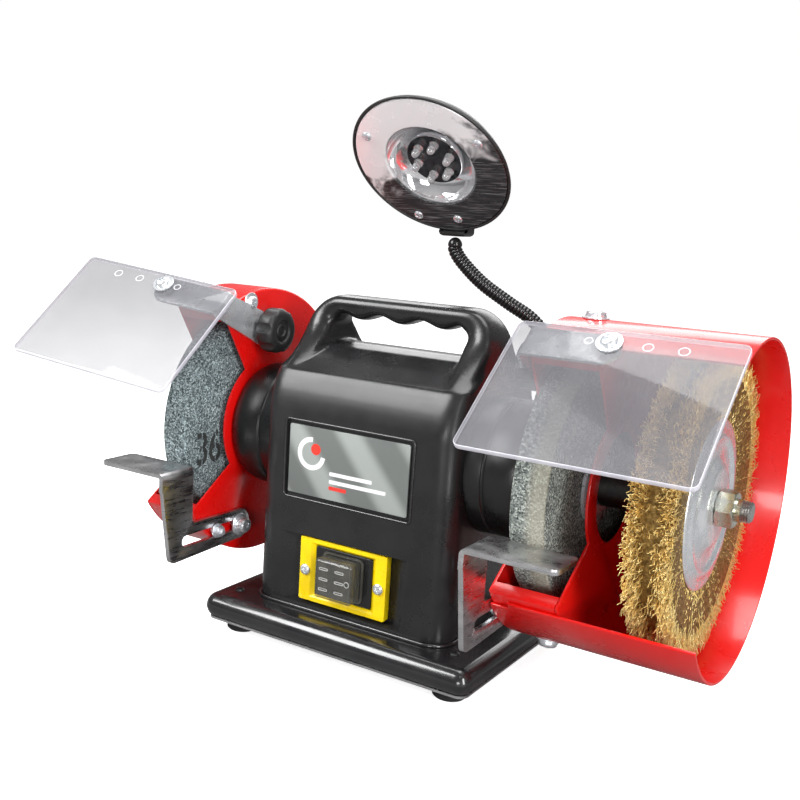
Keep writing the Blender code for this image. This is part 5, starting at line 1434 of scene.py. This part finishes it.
def bend_profile(side, down, drop):
    """The arm, the bend and the top of the leg, seen along the bend."""
    top, under = -0.3, -0.3 - THICK
    line = [(160.0, top)]
    for i in range(7):
        turn = math.radians(90 * i / 6)
        line.append((LEG_X + 3.2 - 3.2 * math.sin(turn), top - 3.2 + 3.2 * math.cos(turn)))
    line += [(LEG_X, drop), (LEG_X + THICK, drop)]
    for i in range(7):
        turn = math.radians(90 - 90 * i / 6)
        line.append((LEG_X + 3.2 - 1.4 * math.sin(turn), top - 3.2 + 1.4 * math.cos(turn)))
    line.append((160.0, under))
    return [on_slope(side, x, down, rise) for x, rise in line]


for side, name in SIDES:
    drop, leg_top = (-12.0, -8.0) if side > 0 else (-5.4, -3.6)
    strip = loft(f"bracket_{name}", [bend_profile(side, 0.5, drop), bend_profile(side, 21.0, drop)])
    cut(strip, slope_plate("arm_outline", rounded(80, 158.3, 0.5, 21.0, 9.0, 8), -30, 5, side), "INTERSECT")
    start = on_slope(side, LEG_X, 0.5, leg_top), on_slope(side, LEG_X, 21.0, leg_top)
    around = disc_outline(PIVOT_Y, SHAFT + PIVOT_RISE, 11, 20, -115, 85)
    tops = [((point - place(0, 0, 0)) / MM) for point in start]
    leg = plate("leg", [(tops[0].y, tops[0].z), (tops[1].y, tops[1].z), *around], "X",
        *span(side, LEG_X, LEG_X + THICK))
    cut(bend_left(strip, side), leg, "UNION")
    turned_hole = [(side * (LEG_X - 8), 0), (side * (LEG_X - 8), 2.9), (side * (LEG_X + 9), 2.9),
        (side * (LEG_X + 9), 0)]
    cut(strip, turned("pivot_hole", turned_hole, place(0, PIVOT_Y, SHAFT + PIVOT_RISE), steps=24))
    ready(soften(strip, 0.25, 2, 40), f"shield_{name}", zinc, "zinc_plate", f"shield_bracket_{name}")
    seat = on_slope(side, 152.6, HOLE_LINE, SHIELD_THICK)
    fixing = stand(crosshead(f"shield_screw_{name}", 4.7, 3.0, washer=7.0), seat, SLOPE_OUT)
    lock_nut = hexagon("lock_nut", -8.2, -5.15, 8.0, SLOPE_OUT, seat, 12)
    ready(bend_left(weld(fixing, lock_nut), side), f"shield_{name}", zinc, "zinc_plate")

# %% [markdown]
# The knob that clamps a bracket is turned, and seven round cutters set about its rim leave the lobes. A
# second, smaller screw holds the guard to the end bell. On the right it sits behind the pivot, out of the
# way of the longer swing of that shield.

# %% Knobs and guard screws
for side, name in SIDES:
    outline = [(111.2, 0), (111.2, 2.2), (110.8, 2.6), (104, 2.6), (104, 8.0), (103.4, 8.6), (101, 9.0),
        (100.5, 10.0),
               (100.1, 13.4), (99.0, 14.7), (97.6, 15), (90.6, 15), (89.0, 14.6), (87.6, 13.2), (87, 11.4),
               (87, 8.4),
               (87.7, 7.5), (88.7, 7.0), (88.7, 5.4), (87.9, 4.9), (87.9, 3.4), (88.9, 2.8), (88.9, 0)]
    centre = place(0, PIVOT_Y, SHAFT + PIVOT_RISE)
    knob = turned(f"lobed_knob_{name}", [(side * a, r) for a, r in outline], centre, steps=84)
    for lobe in range(7):
        turn = math.tau * (lobe + 0.3) / 7
        groove_at = centre + Vector((0, math.cos(turn), math.sin(turn))) * 18.6 * MM
        groove = [(side * 83, 0), (side * 83, 5.4), (side * 100.4, 5.4), (side * 100.4, 0)]
        cut(knob, turned("groove", groove, groove_at, steps=32))
    soften(knob, 0.7, 3, 40)
    ready(knob, f"knob_{name}", moulding, "black_moulding", f"shield_knob_{name}", smooth=50)
    along, up = (-22, 83.2) if side < 0 else (12, 70)
    plate_screw = stand(crosshead(f"guard_screw_{name}", 4.4, 3.0, washer=6.6),
        place(side * GUARD_LOW.x, along, SHAFT + up),
                        (-side, 0, 0))
    ready(plate_screw, "grinder_frame", zinc, "zinc_plate")

# %% [markdown]
# ## Tool rests
# A rest is a bent steel plate. Its table has rounded corners, its arm runs down and back to a slotted foot,
# and the bend between them has a radius. The bent strip is lofted, trimmed, and joined to the arm.

# %% Rounding the corners of any outline
def filleted(points, radius, steps=5):
    """Replaces each corner of a closed outline with a curve that starts a radius away from it."""
    result = []
    for before, corner, after in zip(points[-1:] + points[:-1], points, points[1:] + points[:1]):
        corner_at = Vector(corner)
        back, ahead = Vector(before) - corner_at, Vector(after) - corner_at
        size = min(radius, back.length * 0.45, ahead.length * 0.45)
        start, end = corner_at + back.normalized() * size, corner_at + ahead.normalized() * size
        for i in range(steps + 1):
            t = i / steps
            point = start * (1 - t) ** 2 + corner_at * 2 * t * (1 - t) + end * t ** 2
            result.append((point.x, point.y))
    return result


# %% Rests
REST_X, TABLE_Z, TABLE_Y0, TABLE_Y1, ARM_Z = 103.4, SHAFT - 19.6, -108.0, -79.0, SHAFT - 68.1


def rest_profile(side, y):
    line = [(157.4, TABLE_Z)]
    for i in range(7):
        turn = math.radians(90 * i / 6)
        line.append((REST_X + 3.8 - 3.8 * math.sin(turn), TABLE_Z - 3.8 + 3.8 * math.cos(turn)))
    line += [(REST_X, TABLE_Z - 12), (REST_X + 3, TABLE_Z - 12)]
    for i in range(4):
        turn = math.radians(90 - 90 * i / 3)
        line.append((REST_X + 3.8 - 0.8 * math.sin(turn), TABLE_Z - 3.8 + 0.8 * math.cos(turn)))
    line.append((157.4, TABLE_Z - 3))
    return [place(side * x, y, z) for x, z in line]


for side, name in SIDES:
    rest = loft(f"bent_rest_{name}", [rest_profile(side, TABLE_Y0), rest_profile(side, TABLE_Y1)])
    table = rounded(*span(side, 70, 157.4), TABLE_Y0, TABLE_Y1, 4.0, 6)
    cut(rest, plate("table_outline", table, "Z", TABLE_Z - 30, TABLE_Z + 5), "INTERSECT")
    foot_end = [(-31 + 11 * math.cos(math.radians(a)),
        ARM_Z + 10.5 * math.sin(math.radians(a))) for a in range(-75, 76, 10)]
    front = filleted([(TABLE_Y0, TABLE_Z - 8), (TABLE_Y0 + 8.6, ARM_Z - 12.5), (-31, ARM_Z - 11)], 5.0, 5)[6:12]
    bay = filleted([(-60, ARM_Z + 11), (TABLE_Y1, ARM_Z + 11), (TABLE_Y1, TABLE_Z - 8)], 3.0, 5)[6:12]
    arm_outline = [(TABLE_Y0, TABLE_Z - 8), *front, *foot_end, *bay, (TABLE_Y1, TABLE_Z - 8)]
    arm = plate("arm", arm_outline, "X", *span(side, REST_X, REST_X + 3))
    cut(rest, arm, "UNION")
    slot = rounded(-88.5, -27.3, ARM_Z - 3.7, ARM_Z + 3.7, 3.6, 8)
    cut(rest, plate("slot", slot, "X", *span(side, REST_X - 4, REST_X + 7)))
    ready(soften(rest, 0.35, 2, 40), f"rest_{name}", sheet_steel, "bright_steel", f"tool_rest_{name}")

    axis = (-side, 0, 0)
    seat = place(side * (REST_X - 0.3), -31, ARM_Z)
    washers = [(-9.6, 0), (-9.6, 2.6), (0, 2.6), (0, 7.6), (0.9, 7.6), (1.2, 7.3), (1.25, 5.6), (2.5, 5.5),
        (2.6, 4.9), (6.4, 4.9),
               (7.0, 4.4), (7.0, 0)]
    bolt = turned(f"clamp_bolt_{name}", washers, seat, axis, 40)
    cut(bolt, hexagon("socket", 4.2, 9.0, 4.6, axis, seat, 8))
    ready(bolt, "grinder_frame", zinc, "zinc_plate", f"rest_bolt_{name}", smooth=40)
    second = place(side * (REST_X - 0.3), -54.8, ARM_Z + 0.6)
    stud = turned(f"slot_bolt_{name}", [(-3.4, 0), (-3.4, 2.2), (0, 2.2), (0, 4.9), (0.8, 4.9), (1.0, 4.6),
        (1.0, 2.2), (5.6, 2.2),
                                        (6.2, 1.7), (6.2, 0)], second, axis, 36)
    head = hexagon("slot_nut", 1.0, 4.2, 7.0, axis, second, 20)
    ready(weld(stud, head), "grinder_frame", zinc, "zinc_plate")

# %% [markdown]
# ## Lamp
# The lamp head faces forward and down. Its shell, mirror-steel face and bowl are turned about that axis.
# A pedestal with bright sides stands in the bowl and carries a black disc with six clear diodes, each a
# small bullet with a base. The face is held by four screws.

# %% Lamp head
LAMP_AT = place(-1, 20, SHAFT + 175.9)
TILT = math.radians(43.5)
LAMP_AXIS = Vector((0, -math.cos(TILT), -math.sin(TILT)))
LAMP_UP = Vector((0, -math.sin(TILT), math.cos(TILT)))


def on_face(right, up, out=-0.4):
    return LAMP_AT + (Vector((right, 0, 0)) + LAMP_UP * up + LAMP_AXIS * out) * MM


def make_steel_with_painted_reflection():
    """Mirror steel with a painted reflection in its colour: cloudy and bright towards its top, dark below, and
    finely scratched.
    """
    # The low Metallic lets the painted reflection in the base colour show.
    made = finish("mirror_steel", (0.9, 0.9, 0.9), (0.7, 0.7, 0.7), 60.0, (0.16, 0.3), 900.0, 0.01, 0.15,
        metallic=0.12)
    nodes, links = made.node_tree.nodes, made.node_tree.links
    where = nodes.new("ShaderNodeTexCoord")
    from_centre = nodes.new("ShaderNodeVectorMath")
    from_centre.operation = "SUBTRACT"
    from_centre.inputs[1].default_value = LAMP_AT
    links.new(where.outputs["Object"], from_centre.inputs[0])
    height = nodes.new("ShaderNodeVectorMath")
    height.operation = "DOT_PRODUCT"
    height.inputs[1].default_value = (LAMP_UP + Vector((-0.42, 0, 0))) / MM
    links.new(from_centre.outputs[0], height.inputs[0])
    clouds = nodes.new("ShaderNodeTexNoise")
    clouds.inputs["Scale"].default_value, clouds.inputs["Detail"].default_value = 34.0, 3.0
    clouds.inputs["Distortion"].default_value = 2.2
    links.new(where.outputs["Object"], clouds.inputs["Vector"])
    # Painted reflection: the height across the face, shifted by clouds, sets how bright the colour is.
    painted_reflection_level = nodes.new("ShaderNodeMath")
    painted_reflection_level.operation = "MULTIPLY_ADD"
    painted_reflection_level.inputs[1].default_value = 110.0
    links.new(clouds.outputs["Fac"], painted_reflection_level.inputs[0])
    links.new(height.outputs["Value"], painted_reflection_level.inputs[2])
    bright = nodes.new("ShaderNodeMapRange")
    bright.interpolation_type = "SMOOTHSTEP"
    bright.inputs["From Min"].default_value, bright.inputs["From Max"].default_value = 44.0, 74.0
    bright.inputs["To Min"].default_value, bright.inputs["To Max"].default_value = 0.03, 1.0
    links.new(painted_reflection_level.outputs[0], bright.inputs["Value"])
    along = nodes.new("ShaderNodeMapping")
    along.inputs["Scale"].default_value = (60.0, 1500.0, 1500.0)
    links.new(from_centre.outputs[0], along.inputs["Vector"])
    scratch = nodes.new("ShaderNodeTexNoise")
    scratch.inputs["Scale"].default_value = 1.0
    links.new(along.outputs[0], scratch.inputs["Vector"])
    lines = nodes.new("ShaderNodeMapRange")
    lines.inputs["From Min"].default_value, lines.inputs["From Max"].default_value = 0.5, 0.8
    lines.inputs["To Max"].default_value = 0.35
    links.new(scratch.outputs["Fac"], lines.inputs["Value"])
    both = nodes.new("ShaderNodeMath")
    both.operation = "MAXIMUM"
    links.new(bright.outputs[0], both.inputs[0])
    links.new(lines.outputs[0], both.inputs[1])
    # Painted reflection: the dark and bright colours stand for what the mirror reflects.
    shade = nodes.new("ShaderNodeMix")
    shade.data_type = "RGBA"
    shade.inputs["A"].default_value, shade.inputs["B"].default_value = (0.012, 0.013, 0.015, 1), (0.95, 0.96,
        0.97, 1)
    links.new(both.outputs[0], shade.inputs["Factor"])
    links.new(shade.outputs["Result"], nodes["Principled BSDF"].inputs["Base Color"])
    return made


painted_reflection_plate = make_steel_with_painted_reflection()

shell = [(-2.0, 51.9), (-0.9, 52.1), (-0.1, 52.6), (0.0, 53.3), (-0.4, 53.9), (-1.1, 54.0), (-3.5, 52.6),
    (-7.5, 49.2), (-12, 45),
         (-16, 39.8), (-19, 34), (-21.4, 27.5), (-23, 20), (-23.8, 10), (-24, 0), (-22.5, 0), (-22.2, 12),
         (-21.3, 20),
         (-17.5, 32.5), (-10.5, 43.5), (-2.5, 51.2)]
ready(turned("lamp_dish", shell + shell[:1], LAMP_AT, LAMP_AXIS, 96), "lamp_head", moulding, "black_moulding",
    "lamp_shell",
      smooth=50)
face = [(-0.4, 31.6), (-0.4, 51.4), (-0.7, 51.7), (-1.6, 51.7), (-1.6, 31.0), (-0.9, 31.0)]
ready(turned("mirror_face", face + face[:1], LAMP_AT, LAMP_AXIS, 96), "lamp_head", painted_reflection_plate,
    "polished_reflector",
      "lamp_face_plate", smooth=30)
bowl = [(-1.8, 30.2), (-1.8, 32), (-3.0, 31.8), (-6, 30.4), (-10, 27.4), (-13.6, 23.4), (-16.6, 18),
    (-18.6, 11), (-19.2, 0),
        (-18.2, 0), (-17.7, 10.4), (-15.8, 17), (-12.8, 22.4), (-9.2, 26.4), (-5.2, 29.2)]
ready(turned("polished_bowl", bowl + bowl[:1], LAMP_AT, LAMP_AXIS, 96), "lamp_head", polished, "polished_reflector",
      "lamp_reflector", smooth=50)
for index, (right, up) in enumerate(((-37.6, 23.8), (39.1, 18.8), (-21.6, -41.1), (7.1, -43.1))):
    screw = stand(crosshead(f"face_screw_{index + 1}", 3.1, 1.5), on_face(right, up), LAMP_AXIS)
    ready(screw, "lamp_head", zinc, "zinc_plate")

# %% Diodes on their pedestal
stage_outline = [(-17.5, 0), (-17.3, 10), (-14.0, 15.6), (-12.6, 18.2), (-11.6, 18.8), (-8.0, 19), (-7.5, 18.6),
    (-7.5, 0)]
stage = turned("diode_stage", stage_outline, LAMP_AT, LAMP_AXIS, 72)
ready(stage, "lamp_head", polished, "led_board_black", "led_board", smooth=40)
stage.data.materials.append(diode_board)
for face in stage.data.polygons:
    face.material_index = 1 if face.normal.dot(LAMP_AXIS) > 0.97 else 0
for index in range(6):
    turn = math.radians(60 * index + 12)
    foot_at = on_face(12.2 * math.cos(turn), 12.2 * math.sin(turn), -7.5)
    bullet = [(0, 0), (0, 3.1), (1.0, 3.1), (1.1, 2.6), (5.6, 2.5), (6.8, 2.1), (7.7, 1.3), (8.1, 0)]
    diode = turned(f"diode_{index + 1}", bullet, foot_at, LAMP_AXIS, 24)
    ready(diode, "lamp_head", lens, "clear_acrylic", smooth=60)

# %% [markdown]
# A small block with rounded corners hangs under the rim and holds the end of the neck. Its outline is
# given from the side, in places behind the rim of the tilted head.

# %% Lamp socket
def behind_rim(along, radius):
    at = LAMP_AT + (LAMP_AXIS * along - LAMP_UP * radius) * MM - place(0, 0, 0)
    return at.y / MM, at.z / MM


neck_top = Vector((0, 60, SHAFT + 128.4))
lip = behind_rim(0.2, 54.6)
low_z = neck_top.z + 5.05
outline = [(54, low_z), (68, low_z), (68, low_z + 15), behind_rim(-11, 47.1), behind_rim(-3.5, 53.6), lip,
    (54, lip[1] - 0.4)]
socket = plate("neck_block", outline, "X", -9.6, 9.6)
bevel_where(socket, lambda a, b: abs(a.x - b.x) > 5 and max(a.z, b.z) < low_z + 0.1, 2.6, 5)
ready(soften(socket, 0.8, 3, 30), "lamp_head", moulding, "black_moulding", "lamp_socket")

# %% [markdown]
# The gooseneck is a ribbed tube along a smooth route. The route is resampled at even steps, and the
# radius of each ring swells and sinks with the ribs. It crosses the joint where the neck bends.

# %% Gooseneck
def smooth_route(points, steps):
    ends = [2 * points[0] - points[1], *points, 2 * points[-1] - points[-2]]
    route = []
    for a, b, c, d in zip(ends, ends[1:], ends[2:], ends[3:]):
        for i in range(steps):
            t = i / steps
            route.append(0.5 * (2 * b + (c - a) * t + (2 * a - 5 * b + 4 * c - d) * t ** 2 + (3 * b - a - 3 * c + d) * t ** 3))
    return route + [points[-1]]


def even_steps(route, step):
    """Points at even distances along a route."""
    spots, walked = [route[0]], 0.0
    for start, end in zip(route, route[1:]):
        length = (end - start).length
        while walked + length >= step:
            share = (step - walked) / length
            start = start + (end - start) * share
            spots.append(start)
            length *= 1 - share
            walked = 0.0
        walked += length
    return spots


NECK = [Vector((x, 62 + y, SHAFT + z)) for x, y, z in (
    (66, 10, 20.9), (66, 10, 30.4), (71, 10, 50.4), (69, 7, 68.4), (58, 3, 82.9), (41, 0, 92.9), (22.5, -2, 103.9),
    (8, -2, 115.4), (1, -2, 123.4), (0, -2, 128.4))]
RIB = 2.4
spots = even_steps(smooth_route(NECK, 24), RIB / 6)
side_way = (spots[1] - spots[0]).cross(Vector((0, 1, 0))).normalized()
neck_rings = []
for number_of, spot in enumerate(spots):
    ahead = spots[min(number_of + 1, len(spots) - 1)] - spots[max(number_of - 1, 0)]
    ahead.normalize()
    side_way = (side_way - ahead * side_way.dot(ahead)).normalized()
    up_way = ahead.cross(side_way)
    swell = abs(math.sin(math.pi * number_of / 6))
    size = 4.2 + 0.6 * swell ** 0.7
    neck_rings.append((spot, size, side_way.copy(), up_way.copy(), ahead.copy()))
end_spot, _, end_side, end_up, end_ahead = neck_rings[-1]
for i in range(1, 7):
    turn = math.radians(88 * i / 6)
    neck_rings.append((end_spot + end_ahead * 4.7 * math.sin(turn), 4.7 * math.cos(turn), end_side, end_up,
        end_ahead))
rings = [[place(*(spot + (a * math.cos(math.tau * i / 20) + b * math.sin(math.tau * i / 20)) * size)) for i in range(20)]
         for spot, size, a, b, _ in neck_rings]
neck = loft("ribbed_gooseneck", rings)
bpy.ops.object.shade_smooth_by_angle(angle=math.radians(60))
neck.data.materials.append(glossy_moulding)
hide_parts("lamp_neck_lower", "lamp_neck_upper")
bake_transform(neck)
print(neck.name, len(neck.data.polygons), "faces")

# %% [markdown]
# At the back of the body a block holds the foot of the neck, with a collar round it and two screws, and a
# ribbed gland shows where the mains cord would go in.

# %% Neck mount and cable gland
low, high = measured("lamp_mount")
mount = block("neck_mount", low, high)
bevel_where(mount, lambda a, b: abs(a.y - b.y) < 0.1 or min(a.y, b.y) > high.y - 0.1, 2.2, 4)
collar = turned("neck_collar", [(-1.0, 4.6), (-1.0, 7.8), (2.6, 7.8), (3.4, 7.2), (3.4, 4.6), (-1.0, 4.6)],
                place(66, 72, high.z), (0, 0, 1), 40)
ready(weld(mount, collar), "grinder_frame", glossy_moulding, "black_satin_enamel", "lamp_mount")
for index, x in enumerate((60.5, 71.5)):
    ready(stand(crosshead(f"mount_screw_{index + 1}", 3.0, 1.6), place(x, high.y, high.z - 15), (0, 1, 0)),
          "grinder_frame", zinc, "zinc_plate")
gland = [(0.3, 0), (0.3, 9), (0.8, 9.4), (2.6, 9.4), (3.1, 9.0), (3.6, 7.4)]
for step in (4.4, 6.6, 8.8, 11.0):
    wide = 7.4 - (step - 4.4) * 0.22
    gland += [(step, wide), (step + 1.2, wide), (step + 1.3, wide - 1.1), (step + 2.1, wide - 1.1)]
gland += [(13.9, 5.0), (13.9, 3.6), (6, 3.6), (6, 0)]
ready(turned("cord_gland", gland, place(-42, 62, centre_of("cable_gland").z), (0, 1, 0), 40), "grinder_frame",
    rubber,
      "black_rubber", "cable_gland", smooth=40)

# %% [markdown]
# ## Inside the body
# The motor shows when the body is opened: a laminated stator with weld notches, coil heads that bulge
# between its slots, a rotor with end rings, two sealed bearings and the run capacitor.

# %% Motor
half = 22.0
stator = turned("stator_stack", [(-half, 30), (-half, 48), (half, 48), (half, 30), (-half, 30)],
    place(0, 0, SHAFT), steps=96)
for notch in range(8):
    turn = math.tau * (notch + 0.5) / 8
    at = place(0, 0, SHAFT) + Vector((0, math.cos(turn), math.sin(turn))) * 48.9 * MM
    cut(stator, turned("notch", [(-half - 2, 0), (-half - 2, 2.0), (half + 2, 2.0), (half + 2, 0)], at, steps=20))
ready(soften(stator, 0.2, 1), "grinder_frame", laminated, "laminated_iron", "stator_core")
rotor = [(-half, 9.3), (-half, 29), (-half + 0.5, 29.5), (-half + 3.5, 29.5), (-half + 3.6, 29.1),
    (half - 3.6, 29.1),
         (half - 3.5, 29.5), (half - 0.5, 29.5), (half, 29), (half, 9.3)]
ready(turned("rotor_stack", rotor + rotor[:1], place(0, 0, SHAFT), steps=80), "rotor", laminated,
    "laminated_iron", "rotor_core")
for side, name in SIDES:
    coil = [(22.3, 32.6), (22.3, 44.8), (27, 45), (32, 44.6), (36, 43), (38.6, 41.6), (40.2, 39.4), (40.2, 37),
        (38.4, 35.6), (34, 33.6),
            (28, 32.5)]
    coil = [(side * a, r) for a, r in coil]
    heads = turned(f"coil_heads_{name}", coil + coil[:1], place(0, 0, SHAFT), steps=144)
    bpy.ops.object.transform_apply(location=True, rotation=True, scale=True)
    for vertex in heads.data.vertices:
        offset = vertex.co - place(0, 0, SHAFT)
        share = max(0.0, (abs(offset.x) / MM - 23) / 17)
        vertex.co.x -= side * 1.6 * MM * share * math.cos(12 * math.atan2(offset.z, offset.y)) ** 2
    ready(heads, "grinder_frame", copper, "enamelled_copper", f"winding_{name}", smooth=60)
    race = [(88, 7.8), (88, 10.6), (88.8, 10.8), (88.8, 14.4), (88, 14.6), (88, 17.2), (88.3, 17.5),
        (98.7, 17.5), (99, 17.2),
            (99, 14.6), (98.2, 14.4), (98.2, 10.8), (99, 10.6), (99, 7.8)]
    race = [(side * a, r) for a, r in race]
    ready(turned(f"sealed_bearing_{name}", race + race[:1], place(0, 0, SHAFT), steps=64), "grinder_frame",
        bright_steel,
          "bright_steel", f"bearing_{name}")
can_low, can_high = measured("capacitor")
can_at = place((can_low.x + can_high.x) / 2, (can_low.y + can_high.y) / 2, (can_low.z + can_high.z) / 2)
can = [(-26, 0), (-26, 12.6), (-25.2, 13.6), (-24, 14), (22.5, 14), (22.8, 13.4), (24.4, 13.4), (24.7, 14),
    (26, 13.2), (26, 0)]
ready(turned("run_capacitor", can, can_at, steps=56), "grinder_frame", glossy_moulding, "black_moulding",
    "capacitor")

# %% [markdown]
# Only the bottom plate keeps the shape it came with, and it gets its finish here.

# %% Bottom plate
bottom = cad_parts["bottom_plate"]
bottom.data.materials.clear()
bottom.data.materials.append(sheet_steel)
print("bottom plate finished")
